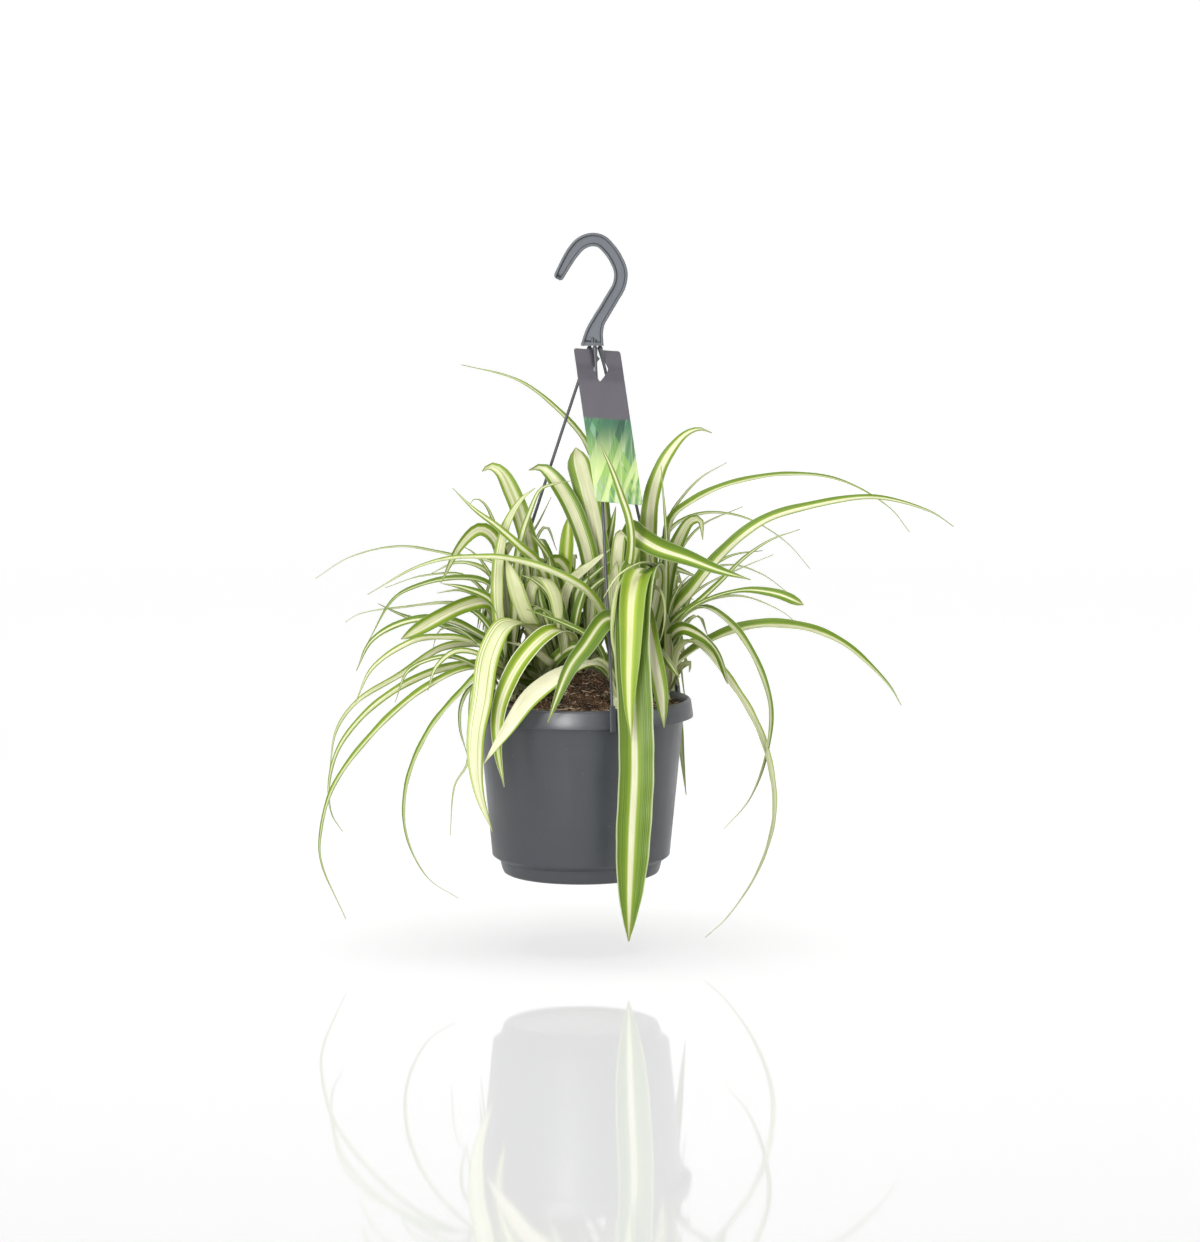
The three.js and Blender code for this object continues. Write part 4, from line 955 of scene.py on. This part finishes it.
def leaf_finish(name, under):
    """The upper side's finish, or the duller and paler one of the underside."""
    roughness = 0.56 if under else 0.42
    finish = Finish(name, roughness, Specular_IOR_Level=0.26 if under else 0.34)
    u, v, _ = finish.parts(finish.surface())
    look = finish.attribute("look", "Color")
    stripe, yellow, lines = (
        finish.node("ShaderNodeSeparateColor", values={0: look}, out=channel)
        for channel in ("Red", "Green", "Blue")
    )
    margin = finish.attribute("look", "Alpha")
    phase, shift = finish.attribute("phase"), finish.attribute("shift")
    across = (u - 0.5) * 2

    def drawn_out(fineness, length, seed, detail=1):
        """Noise with its own fineness across the leaf and along it."""
        place = finish.vector(across * fineness, v * length, phase + seed)
        return finish.noise(place, detail=detail)

    wander = drawn_out(0.4, 2.5, 0) - 0.5
    away = abs(across - shift) + wander * 0.2
    cream = 1 - finish.mask(away - stripe, -0.07, 0.08)
    glow = 1 - finish.mask(away - stripe, 0.0, 0.4)
    hair = finish.mask(drawn_out(8, 0.6, 9), 0.56, 0.6) * lines
    vein = drawn_out(22, 1.5, 20, detail=2)
    blotch = drawn_out(2, 9, 31, detail=3)

    deep = finish.mix(yellow, paint(52, 86, 8), paint(118, 146, 26))
    bright = finish.mix(yellow, paint(112, 143, 30), paint(174, 190, 60))
    green = finish.mix(glow * 0.8, deep, bright)
    green = finish.mix(finish.mask(vein, 0.3, 0.75, 0.0, 0.5), green, paint(140, 162, 60))
    pale = finish.mix(finish.mask(blotch, 0.3, 0.7), paint(223, 218, 191), paint(206, 204, 171))
    lined = finish.mask(vein, 0.35, 0.75) * (lines * 0.45 + 0.3)
    pale = finish.mix(lined, pale, paint(176, 188, 122))
    pale = finish.mix(finish.mask(yellow, 0.6, 1.0) * 0.5, pale, paint(196, 204, 116))
    body = finish.mix(cream * (1 - hair * 0.8), green, pale)
    edge = finish.mask(abs(across), 0.9, 0.97) * margin
    base = 1 - finish.mask(v, 0.03, 0.24)
    tip = finish.mask(v, 0.94, 1.0)
    for share, tint in (
        (edge, (226, 229, 192)),
        (base * 0.75, (206, 208, 156)),
        (tip * 0.5, (132, 136, 74)),
        (0.42 if under else 0, (178, 186, 124)),
    ):
        body = finish.mix(share, body, paint(*tint))
    finish.drive("Base Color", body)
    finish.drive("Roughness", finish.mask(blotch, 0.3, 0.7, -0.05, 0.06) + roughness)
    finish.bump(vein, 0.00022, 0.8)
    return finish.material


leaf_top = leaf_finish("leaf_upper_side", under=False)
leaf_under = leaf_finish("leaf_underside", under=True)
print("leaf looks:", ", ".join(LOOKS))

# %% [markdown]
# ## Where the leaves go
# Each leaf is drawn, as it is seen from the front, in a row of its own under the name of
# its tuft. The row says how wide the leaf is, how squarely it faces the viewer and its look;
# then, for a leaf with an outline of its own, the last four arguments of leaf_width or the first
# of them. After the colon come the points that it passes: x, z and how far each stands before the
# pot's axis. The same routes shape the solids of the imported model.

# %% Crowns and their leaves
CROWNS = {
    "left": (-53, 18),
    "middle": (-14, 26),
    "front": (29, -20),
    "right": (61, 20),
    "rear_left": (-30, 54),
    "rear_right": (32, 55),
}
DRAWN_LEAVES = """\
front
20 0.95 lime: 50 203 24, 49 222 34, 46 229 48, 41 222 68, 38 206 84, 37 180 96, 36 130 106,
    38 99 108
12 0.8 pale: 33 205 34, 32 226 54, 25 210 80, 23 180 90, 29 150 94
27 0.97 big 0.74: 52 195 20, 50 228 36, 42 226 60, 37.5 180 84, 40 125 95, 41 77 99, 39 32 100,
    37 -20 98, 36 -53 96
9 0.75 grey: 50 182 20, 58 228 36, 49 235 58, 36 231 84, 26 223 93, 17 208 96
13 0.98 milky 0.7: 43 182 32, 47 198 46, 51 182 64, 55 162 70, 60 137 72, 62.5 110 72
9 0.95 striped 0.84: 45 168 34, 56 172 50, 66 160 60, 74 148 62
5 0.5 pale: 50 190 28, 54 216 42, 60 213 52, 63 200 56, 61 182 58, 56 168 58
15 0.9 dark: 38 176 44, 29 190 64, 18 191 78, 3 171 90, -8 156 94, -25 114 96
15 0.9 cream 0.5 0.22 0.22 0.66: 20 152 36, 7 159 58, -12 152 76, -38 133 88, -56 108 93, -73 83 94
17 0.8 thin: 36 190 14, 35 235 14, 38 258 26, 46 253 42, 58 246 56, 81 238 74, 104 229 88,
    127 222 98
12 0.8 pale 0.6: 29 200 22, 28 240 32, 31 257 38, 36 250 46, 38 238 50
7 0.8 striped 0.6: 32 205 38, 38 250 58, 36 268 61, 30 286 60, 23 305 58, 14 324 52
11 0.5 broad: 22 180 30, 5 212 40, -8 221 42, -27 230 40, -57 238 37, -76 239 35, -99 238 33,
    -124 231 30, -160 211 24
6 0.7 thin: 14 170 28, 3 181 36, -13 189 38, -28 195 38, -41 200 36
5 0.6 pale: 24 150 28, 19 158 34, 13 162 38, 5 160 41
8 0.6 grey: 44 180 8, 50 205 12, 50 228 16
5 0.7 dark: 24 170 20, 16 190 26, 12 206 28, 14 216 28
10 0.85 frosted 0.8: 50 178 12, 54 205 16, 55 225 18, 53 235 22
13 0.9 pale 0.7: 32 180 20, 26 205 34, 25 225 40, 27 236 44
middle
15 0.9 frosted 0.7: 2 170 -12, 7 228 -2, -4 269 6, -18 295 6, -29 306 3, -39 304 -2
19 0.95 frosted 0.9: 10 180 -22, 14 235 -10, 8 273 -4, -1 308 -2, -4 321 -2
12 0.6 striped: 12 175 -34, 19 250 -34, 14 295 -30, 3 325 -28, -10 342 -28, -36 365 -30,
    -53 374 -34, -89 383 -40
15 0.9 broad 0.7: -30 185 -14, -42 258 -2, -52 288 -2, -61 304 -4, -68 307 -6, -74 303 -8
9 0.8 striped: -20 190 -8, -31 232 12, -46 247 22, -64 263 24, -80 275 24, -96 291 21
6 0.7 grey: -30 190 -34, -37 254 -36, -31 266 -36, -22 284 -36
8 0.7 striped: -14 205 -14, -24 238 -4, -39 259 4
12 0.7 striped: -6 215 -20, -17 237 -12, -26 234 -6, -34 222 0
12 0.9 lime 0.76: -14 200 -22, -12 224 -20, -9 270 -16
9 0.8 lined: -14 196 0, -7 221 8, 8 234 15, 22 245 16
7 0.8 dark: -4 196 -2, -2 214 6, 11 227 9, 22 236 9
9 0.8 dark 0.6: 14 215 -22, 21 250 -16, 26 277 -12
14 0.9 edged: -9 170 6, -11 182 28, -24 182 48, -46 160 64, -61 127 69, -63 96 74, -58 65 76
18 0.9 lined: -30 176 4, -42 187 32, -57 186 52, -68 166 68, -74 130 78, -79 100 82, -77 62 83,
    -67 31 82
13 -0.85 pale 0.7: -24 162 -10, -34 180 14, -45 203 26, -51 222 29, -56 237 27
7 0.8 pale: -13 172 24, -15 190 30, -18 204 31, -24 217 30, -31 223 28
6 0.7 pale: -24 160 22, -34 168 32, -46 173 38, -58 175 40
8 0.8 dark: -22 180 10, -30 205 12, -33 232 8
7 0.8 pale: -34 180 0, -38 205 4, -41 233 2, -43 250 -2
8 0.8 dark: -6 190 -4, 0 206 2, 12 219 6, 24 227 8
6 0.8 striped: -20 190 16, -24 210 20, -36 222 22, -47 226 22
9 0.8 dark: -6 180 4, -2 200 8, 4 220 8, 6 236 4
12 0.7 dark: -4 164 0, 6 172 6, 15 182 8, 22 200 6
13 0.7 broad 0.6: -22 168 2, -30 188 4, -35 212 0, -34 238 -6
12 0.8 grey 0.6: -12 170 4, -16 195 6, -22 220 2, -24 240 -4
10 0.7 dark: -20 160 12, -12 168 20, -2 172 26, 10 168 30
10 0.9 pale 0.75: -38 195 8, -36 219 18, -28 223 26, -20 212 32, -17 196 34, -17 183 34
9 0.9 dark 0.7: -30 180 14, -36 200 20, -28 200 28, -14 192 32, -2 186 34
left
11 0.85 pale: -58 170 2, -62 205 12, -61 239 12, -55 265 12, -44 283 13, -34 291 12
9 0.8 striped: -50 176 -4, -46 246 9, -38 273 11, -30 290 12, -19 294 17, -8 296 20
8 0.8 striped: -52 176 -12, -61 250 -12, -72 279 -10, -79 283 -8, -83 279 -6
12.5 0.8 striped: -54 170 -8, -58 220 -2, -65 253 2, -76 260 8, -90 248 14, -105 219 18
9 0.45 striped: -60 200 -12, -70 227 -14, -91 235 -18, -112 227 -22
9 0.5 dark: -60 190 -6, -69 218 -4, -94 223 -2, -126 216 0, -141 207 0, -160 175 0
7 0.4 striped: -64 196 -18, -86 224 -24, -118 225 -28, -147 216 -32
8 0.7 dark: -59 190 4, -68 207 10, -88 216 16, -104 219 18
12 0.85 broad 0.82: -59 186 -4, -68 205 0, -87 203 14, -108 193 26, -135 177 34
10 0.5 dark: -62 168 0, -78 181 2, -101 191 6, -131 190 8, -157 176 10, -169 153 10
8 0.45 dark: -66 166 -10, -80 177 -14, -104 187 -18, -131 194 -20, -152 204 -22
6 0.4 grey: -66 180 -18, -86 202 -24, -136 201 -34, -167 196 -40, -177 190 -42
9 0.45 broad: -64 164 4, -86 176 12, -104 178 15, -124 176 18, -156 156 20, -170 129 20
10 0.5 broad: -62 160 0, -74 171 0, -103 170 0, -133 151 -2, -169 129 -4, -184 108 -6, -190 74 -6
10 0.6 broad: -62 156 6, -79 158 12, -116 150 18, -156 126 20, -182 95 20, -190 66 19, -188 44 18,
    -180 31 17
10 0.5 striped: -62 152 10, -86 154 24, -118 139 30, -154 108 34, -187 64 36, -197 25 36, -196 7 36,
    -178 -36 36
9 0.5 grey: -60 152 16, -72 154 34, -90 137 42, -114 108 47, -131 68 50, -132 30 50, -116 -4 50,
    -93 -20 50
6 0.6 striped: -74 164 20, -94 168 28, -109 156 32, -115 138 33
6 0.6 dark: -78 156 18, -100 164 27, -121 159 28, -131 152 30, -140 129 31
5 0.6 grey: -70 146 4, -83 140 6, -90 127 8, -91 110 10, -86 90 10
5 0.6 grey: -66 150 30, -80 142 48, -84 110 56, -86 82 58, -95 67 58, -99 28 56
5 0.5 grey: -64 180 -10, -78 196 -10, -100 205 -10, -131 202 -12
4 0.6 dark: -80 176 10, -96 186 12, -106 184 12, -112 168 12
7 0.6 dark: -62 170 4, -72 190 8, -84 200 10, -98 201 10
6 0.5 striped: -62 175 -6, -74 206 -6, -90 214 -6, -108 212 -8
6 0.7 striped: -60 175 -14, -68 225 -14, -80 242 -12, -90 248 -10
right
16 0.85 broad: 58 175 -14, 52 235 -10, 53 280 -10, 62 310 -12, 78 331 -18, 89 335 -21, 98 332 -24
7 0.85 striped: 62 175 -8, 64 250 2, 62 281 5, 60 307 6
11 0.45 offset: 70 190 -26, 65 240 -32, 68 268 -34, 82 280 -34, 106 292 -35, 151 301 -38,
    193 297 -42, 231 276 -46, 246 258 -48
13 0.7 offset: 64 175 -8, 68 195 0, 83 214 6, 106 242 10, 136 266 12, 174 278 12, 220 284 10,
    262 273 8, 279 262 6
8 0.6 dark: 63 170 0, 68 189 8, 88 205 16, 106 222 20, 123 239 22, 142 252 22, 164 260 20
8 0.6 thin 0.93 0.42 0.66 0.9: 64 165 4, 75 193 18, 90 205 26, 121 214 32, 148 211 36, 167 203 38
6 0.4 grey: 66 180 -20, 87 202 -22, 106 209 -24, 124 209 -26, 151 198 -28, 160 191 -29
12 0.5 grey: 66 165 0, 72 187 8, 91 201 16, 113 187 24, 131 160 30, 142 126 34, 139 89 38,
    127 56 40, 108 33 40
12 0.5 pale: 70 150 -10, 74 168 4, 82 175 14, 93 168 22, 110 147 30, 130 115 36, 141 84 40,
    145 44 44, 134 3 48, 110 -35 50, 94 -50 50
12 0.85 dark 0.9 0.55 0.2 0.7: 66 165 2, 68 180 16, 77 186 32, 91 180 44, 101 170 48, 107 157 50,
    110 143 50
12 0.5 offset: 70 150 -20, 75 160 -20, 97 176 -20, 128 187 -18, 166 186 -16, 197 174 -14,
    231 143 -12, 241 127 -12
15 0.85 grey: 62 175 -20, 66 228 -22, 73 250 -19, 82 266 -14, 89 267 -9, 91 252 -4
6 0.7 pale: 70 146 -16, 76 157 -12, 82 159 -8, 81 152 -5
6 0.7 dark: 64 180 6, 68 205 10, 76 220 10, 82 226 9
9 0.7 broad: 62 175 -10, 60 205 -8, 54 232 -8, 50 252 -10
8 0.8 pale: 66 150 10, 66 170 14, 64 192 14, 60 206 12
7 0.6 striped: 66 165 -12, 78 200 -14, 92 226 -16, 112 240 -18, 136 244 -22
rear_left
6 0.4 grey: -36 190 -58, -61 232 -62, -99 241 -66, -136 247 -70, -173 239 -74, -199 223 -78
7 0.7 grey: -34 200 -60, -34 250 -60, -26 262 -58, -18 244 -54
14 0.9 grey: -36 138 -50, -46 142 -48, -60 145 -46
15 0.9 grey: -36 150 -50, -44 164 -48, -56 176 -46
15 0.9 broad: -34 148 -50, -46 152 -46, -60 160 -42
15 0.9 grey: -24 150 -50, -14 166 -46, -4 178 -44
14 0.9 pale: -20 148 -48, -8 157 -44, 8 165 -40
rear_right
7 0.7 grey: 52 190 -60, 62 245 -62, 67 270 -62, 75 283 -62, 90 299 -63, 109 310 -64
8 0.4 grey: 50 200 -66, 60 248 -70, 72 264 -72, 94 272 -74, 124 268 -78, 154 250 -82, 172 230 -86
7 0.5 striped: 60 215 -60, 80 252 -58, 92 264 -58, 121 277 -60
10 0.6 striped: 44 190 -56, 58 232 -56, 71 230 -55, 92 222 -54
6 0.4 grey: 60 195 -56, 88 226 -58, 112 233 -60, 136 226 -63, 158 210 -66
6 0.4 grey: 58 180 -62, 88 214 -68, 116 229 -72, 144 241 -78
16 0.9 grey: 26 150 -50, 12 162 -46, 0 174 -44
14 0.9 broad: 24 150 -50, 8 154 -46, -10 166 -44
14 0.9 grey: 28 155 -50, 22 180 -44, 12 196 -40
13 0.9 pale: 38 150 -50, 46 168 -46, 54 184 -44"""


def read_leaves(table):
    """The rows of a table, by tuft. A row that is set in goes on with the one above it."""
    tufts = {}
    for row in table.replace("\n    ", " ").split("\n"):
        head, _, route = row.partition(":")
        if not route:
            leaves = tufts[head] = []
            continue
        width, face, look, *outline = head.split()
        points = [seen(*map(float, point.split())) for point in route.split(",")]
        leaves.append((float(width), float(face), look, points, [float(v) for v in outline]))
    return tufts


LEAVES = read_leaves(DRAWN_LEAVES)
print("drawn leaves:", {name: len(leaves) for name, leaves in LEAVES.items()})

# %% [markdown]
# The far side is strewn by rule: azimuths, reaches and drops come from a small seeded draw of its
# own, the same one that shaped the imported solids, so the finer leaves land on them.

# %% Leaves of the far side
# Each far tuft: its count of leaves, the first and last azimuth in degrees, the seed.
FAR_FANS = {"rear_left": (9, 176, 240, 11), "rear_right": (9, 120, 184, 29)}
FAR_SPREAD = 50  # how far to each side of its crown a leaf may reach
# The least of each size, and how much the draw may add to it.
FAR_REACH, FAR_RISE, FAR_DROP, FAR_WIDTH = (90, 70), (55, 60), (40, 110), (8, 7)
MULTIPLIER, MODULUS = 16807, 2147483647


def seeded(state):
    """A plain draw between 0 and 1, the same on every run."""
    while True:
        state = state * MULTIPLIER % MODULUS
        yield state / MODULUS


def crown_place(name):
    x, y = CROWNS[name]
    return Vector((x, y, soil_height(x, y)))


def arch(root, turn, reach, heights):
    """A route from a root outwards, through a height at each share of its reach."""
    out = Vector((math.cos(turn), math.sin(turn), 0))
    return [root + out * reach * share + Vector((0, 0, up)) for share, up in heights]


def far_leaves(name):
    count, first, last, seed = FAR_FANS[name]
    root = crown_place(name)
    numbers = seeded(seed)
    for _ in range(5):  # the first few are alike for small seeds
        next(numbers)

    def drawn(least, span):
        return least + span * next(numbers)

    leaves = []
    for i in range(count):
        azimuth = math.radians(first + (last - first) * (i + 0.2 + 0.6 * next(numbers)) / count)
        reach = min(drawn(*FAR_REACH), FAR_SPREAD / abs(math.sin(azimuth)))
        rise, drop, width = (drawn(*limits) for limits in (FAR_RISE, FAR_DROP, FAR_WIDTH))
        middle = [(0.16, 0.62 * rise), (0.42, rise), (0.74, rise - 0.32 * drop)]
        heights = [(0.03, 4), *middle, (1, rise - drop)]
        leaves.append((width, arch(root, azimuth - math.pi / 2, reach, heights)))
    return leaves


print("far leaves:", sum(len(far_leaves(name)) for name in FAR_FANS))

# %% [markdown]
# Between the drawn leaves stand the young ones, which are steeper; each third one is short and
# leans out more. They fill a tuft, so that its middle is leaf behind leaf and no daylight comes
# through. A golden-angle step spreads them evenly.

# %% Young leaves
YOUNG = {"left": 18, "middle": 30, "front": 9, "right": 18, "rear_left": 27, "rear_right": 27}
YOUNG_LOOKS = ["striped", "dark", "broad", "grey", "pale", "thin"]
SHORT, TALL = ((28, 52), (14, 34)), ((50, 100), (10, 38))  # limits of rise and reach
GOLDEN_ANGLE = math.pi * (3 - math.sqrt(5))


def young_leaves(name, draw):
    root = crown_place(name)
    leaves = []
    for i in range(YOUNG[name]):
        turn = i * GOLDEN_ANGLE + draw.uniform(-0.3, 0.3)
        if name not in FAR_FANS:  # the near tufts keep their front free for the drawn leaves
            turn = math.radians(-10) + turn % math.pi * 200 / 180
        short = i % 3 == 2
        rise, reach = (draw.uniform(*limits) for limits in (SHORT if short else TALL))
        sag = draw.uniform(0, 0.3) * rise
        heights = [(0.04, 4), (0.2, 0.5 * rise), (0.5, 0.88 * rise), (0.78, rise), (1, rise - sag)]
        width = draw.uniform(11, 16) * (1.15 if short else 1)
        leaves.append((width, draw.choice(YOUNG_LOOKS), arch(root, turn, reach, heights)))
    return leaves


print("young leaves:", sum(YOUNG.values()))

# %% [markdown]
# ## Tufts
# A tuft's leaves clasp one crown. Each leaf starts a little off the crown's centre, towards the
# side that it leaves by, so that their folded bases wrap round one another. The crown itself is a
# short pale body, spun, that closes the middle of the tuft.

# %% Growing the tufts
CROWN_RADIUS = 7.4
CROWN_LINE = [
    (0, -26), (4.4, -26), (CROWN_RADIUS, -15.6), (7.2, -4), (6.6, 3.6), (5.2, 8), (2.6, 10),
    (0, 10.4),
]
CROWN_STEPS = 28
ROOT_HEIGHT = 3  # where leaves start above the soil
ROOT_SHARE = 0.45  # and off the crown's axis, for the crown's radius
LOOK_PLAY, SHIFT_PLAY = 0.07, 0.1
FAR_LOOKS = ["striped", "broad", "dark", "grey", "striped", "pale", "lime", "broad", "striped"]


def jitter(look, draw):
    """A leaf's look, a little different each time."""
    *shares, shift = LOOKS[look]
    shares = [max(0, share + draw.uniform(-LOOK_PLAY, LOOK_PLAY)) for share in shares]
    return (*shares, shift + draw.uniform(-SHIFT_PLAY, SHIFT_PLAY))


def tuft(name, seed):
    draw = random.Random(seed)
    place = crown_place(name)
    bm = bmesh.new()
    bm.verts.layers.float_color.new("look")
    bm.verts.layers.float.new("phase")
    bm.verts.layers.float.new("shift")
    for width, face, look, points, outline in LEAVES[name]:
        side = Vector((points[0].x - place.x, points[0].y - place.y, 0)).normalized()
        root = place + Vector((0, 0, ROOT_HEIGHT)) + side * CROWN_RADIUS * ROOT_SHARE
        add_leaf(bm, [root, *points], width, face, outline, jitter(look, draw), draw)
    if name in FAR_FANS:
        for (width, points), look in zip(far_leaves(name), FAR_LOOKS):
            add_leaf(bm, points, width, None, (), jitter(look, draw), draw)
    for width, look, points in young_leaves(name, draw):
        add_leaf(bm, points, width, None, (), jitter(look, draw), draw)
    shell = bmesh.ops.solidify(bm, geom=bm.faces[:], thickness=LEAF_THICKNESS)["geom"]
    for face in (g for g in shell if isinstance(g, bmesh.types.BMFace)):
        face.material_index = 1
    keep(bm, f"rosette_{name}_leaves", [leaf_top, leaf_under], f"rosette_{name}", crease=60)
    crown = bmesh.new()
    spun(crown, CROWN_LINE, CROWN_STEPS)
    bmesh.ops.translate(crown, verts=crown.verts, vec=place)
    keep(crown, f"rosette_{name}_crown", [crown_finish], crease=60)


def sheath_finish():
    """The pale, ribbed bases that wrap the crown."""
    finish = Finish("crown_sheaths", roughness=0.5)
    place = finish.place()
    rib = finish.noise(finish.stretched(place, (700, 700, 30)), detail=2)
    body = finish.mix(finish.mask(rib, 0.3, 0.7), paint(190, 200, 140), paint(228, 230, 190))
    finish.drive("Base Color", body)
    finish.bump(rib, 0.0008)
    return finish.material


crown_finish = sheath_finish()
for seed, name in enumerate(CROWNS, 40):
    tuft(name, seed)

# %% [markdown]
# ## Floor, light and camera
# The plant stands before white, softly lit from all round with a brighter side at the front left.
# The floor is plain and pale, just under the lowest leaf tips. Far out it turns up into a wall
# that runs all round, so that no horizon shows and the plant can be looked at from every side. It
# glows a little, and more behind the plant, as a backdrop does that has lamps of its own. Near
# the plant it is glossy and mirrors it; so that it doesn't mirror the lamps too, only the top
# lamp lights it.

# %% Floor
FLOOR_BELOW = 57  # mm under the pot's foot
FLOOR_RADIUS = 4600
WALL_RADIUS = 5400
WALL_TOP = 4200
CURVE_STEPS = 16
FLOOR_STEPS = 128
FLOOR_RING = 1500  # an inner ring, so that the faces near the plant stay small
GLOSS = (0.1, 1.6, 0.04, 0.8)  # two distances behind the hook in m, and the roughness at each
GLOW = (-0.2, 1.9, 0.26, 0.45)  # the same for the light that it gives off

floor = bmesh.new()
line = [(0, 0), (FLOOR_RING, 0), (FLOOR_RADIUS, 0)]
curve = WALL_RADIUS - FLOOR_RADIUS
for i in range(1, CURVE_STEPS + 1):
    turn = math.pi / 2 * i / CURVE_STEPS
    line.append((FLOOR_RADIUS + curve * math.sin(turn), curve - curve * math.cos(turn)))
line.append((WALL_RADIUS, WALL_TOP))
spun(floor, [(radius, z - FLOOR_BELOW) for radius, z in line], FLOOR_STEPS)
if min(floor.faces, key=lambda face: face.calc_center_median().length).normal.z < 0:
    bmesh.ops.reverse_faces(floor, faces=floor.faces)
floor.transform(TO_MODEL)
floor_mesh = bpy.data.meshes.new("floor")
floor.to_mesh(floor_mesh)
floor.free()
floor_mesh.shade_smooth()
backdrop = add_object("floor", floor_mesh)
pale_floor = Finish(
    "pale_floor", Base_Color=(0.82, 0.82, 0.82, 1), Specular_IOR_Level=0.2, Emission_Strength=1
)
behind = pale_floor.parts(pale_floor.place())[1]
pale_floor.drive("Roughness", pale_floor.mask(behind, *GLOSS))
glow = pale_floor.mask(behind, *GLOW)
pale_floor.drive("Emission Color", pale_floor.vector(glow, glow, glow))
floor_mesh.materials.append(pale_floor.material)
print("floor", FLOOR_BELOW, "mm under the pot's foot, wall", WALL_RADIUS, "mm away")

# %% Lights


def aim(thing, place, target):
    """Stands a lamp or a camera at a place and turns it to a target."""
    thing.location = place
    thing.rotation_mode = "QUATERNION"
    thing.rotation_quaternion = (Vector(target) - Vector(place)).to_track_quat("-Z", "Y")


def softbox(name, place, target, size, power, only=None):
    """A soft rectangular lamp, itself unseen, that lights all pieces or only a collection."""
    lamp = bpy.data.lights.new(name, "AREA")
    lamp.shape = "RECTANGLE"
    lamp.size, lamp.size_y = size
    lamp.energy = power
    thing = add_object(name, lamp)
    aim(thing, place, target)
    thing.visible_camera = False
    thing.light_linking.receiver_collection = only


# Places and sizes are in metres in the model's frame, powers in watts.
MIDDLE = (0, 0, -0.3)
ROOM_LIGHT = 0.26
softbox("key_front_left", (-0.9, -2.4, 1.2), MIDDLE, (0.9, 1.2), 34, PLANT)
softbox("low_front", (-0.4, -1.45, -0.27), (0, 0, -0.4), (0.46, 0.6), 11.5, PLANT)
softbox("fill_right", (2.4, -0.6, 0.2), MIDDLE, (0.5, 1.4), 7, PLANT)
softbox("top", (0, -0.2, 2.0), MIDDLE, (1.8, 1.8), 24)
world = bpy.data.worlds.new("studio")
bpy.context.scene.world = world
world.use_nodes = True
colour, strength = world.node_tree.nodes["Background"].inputs[:2]
colour.default_value = (1, 1, 1, 1)
strength.default_value = ROOM_LIGHT
bpy.context.scene.view_settings.view_transform = "Standard"
print("lamps:", len(bpy.data.lights), "and a room of strength", ROOM_LIGHT)

# %% [markdown]
# The camera stands 3 m away and a little higher than the hook, looking slightly down. That far
# off, the lens has to be long, which keeps the round rim a shallow ellipse.

# %% Camera
AIM = Vector((14.25, 0, 190.8))
FRAME_SIDE = 931.5  # mm that the frame's long side covers at the aim
lens = bpy.data.cameras.new("camera")
lens.sensor_width = 36
camera = add_object("camera", lens)
aim(camera, TO_MODEL @ EYE, TO_MODEL @ AIM)
sight = TO_MODEL @ AIM - TO_MODEL @ EYE
lens.lens = lens.sensor_width * sight.length / (FRAME_SIDE * MILLIMETRE)
bpy.context.scene.camera = camera
print("lens:", round(lens.lens, 1), "mm")
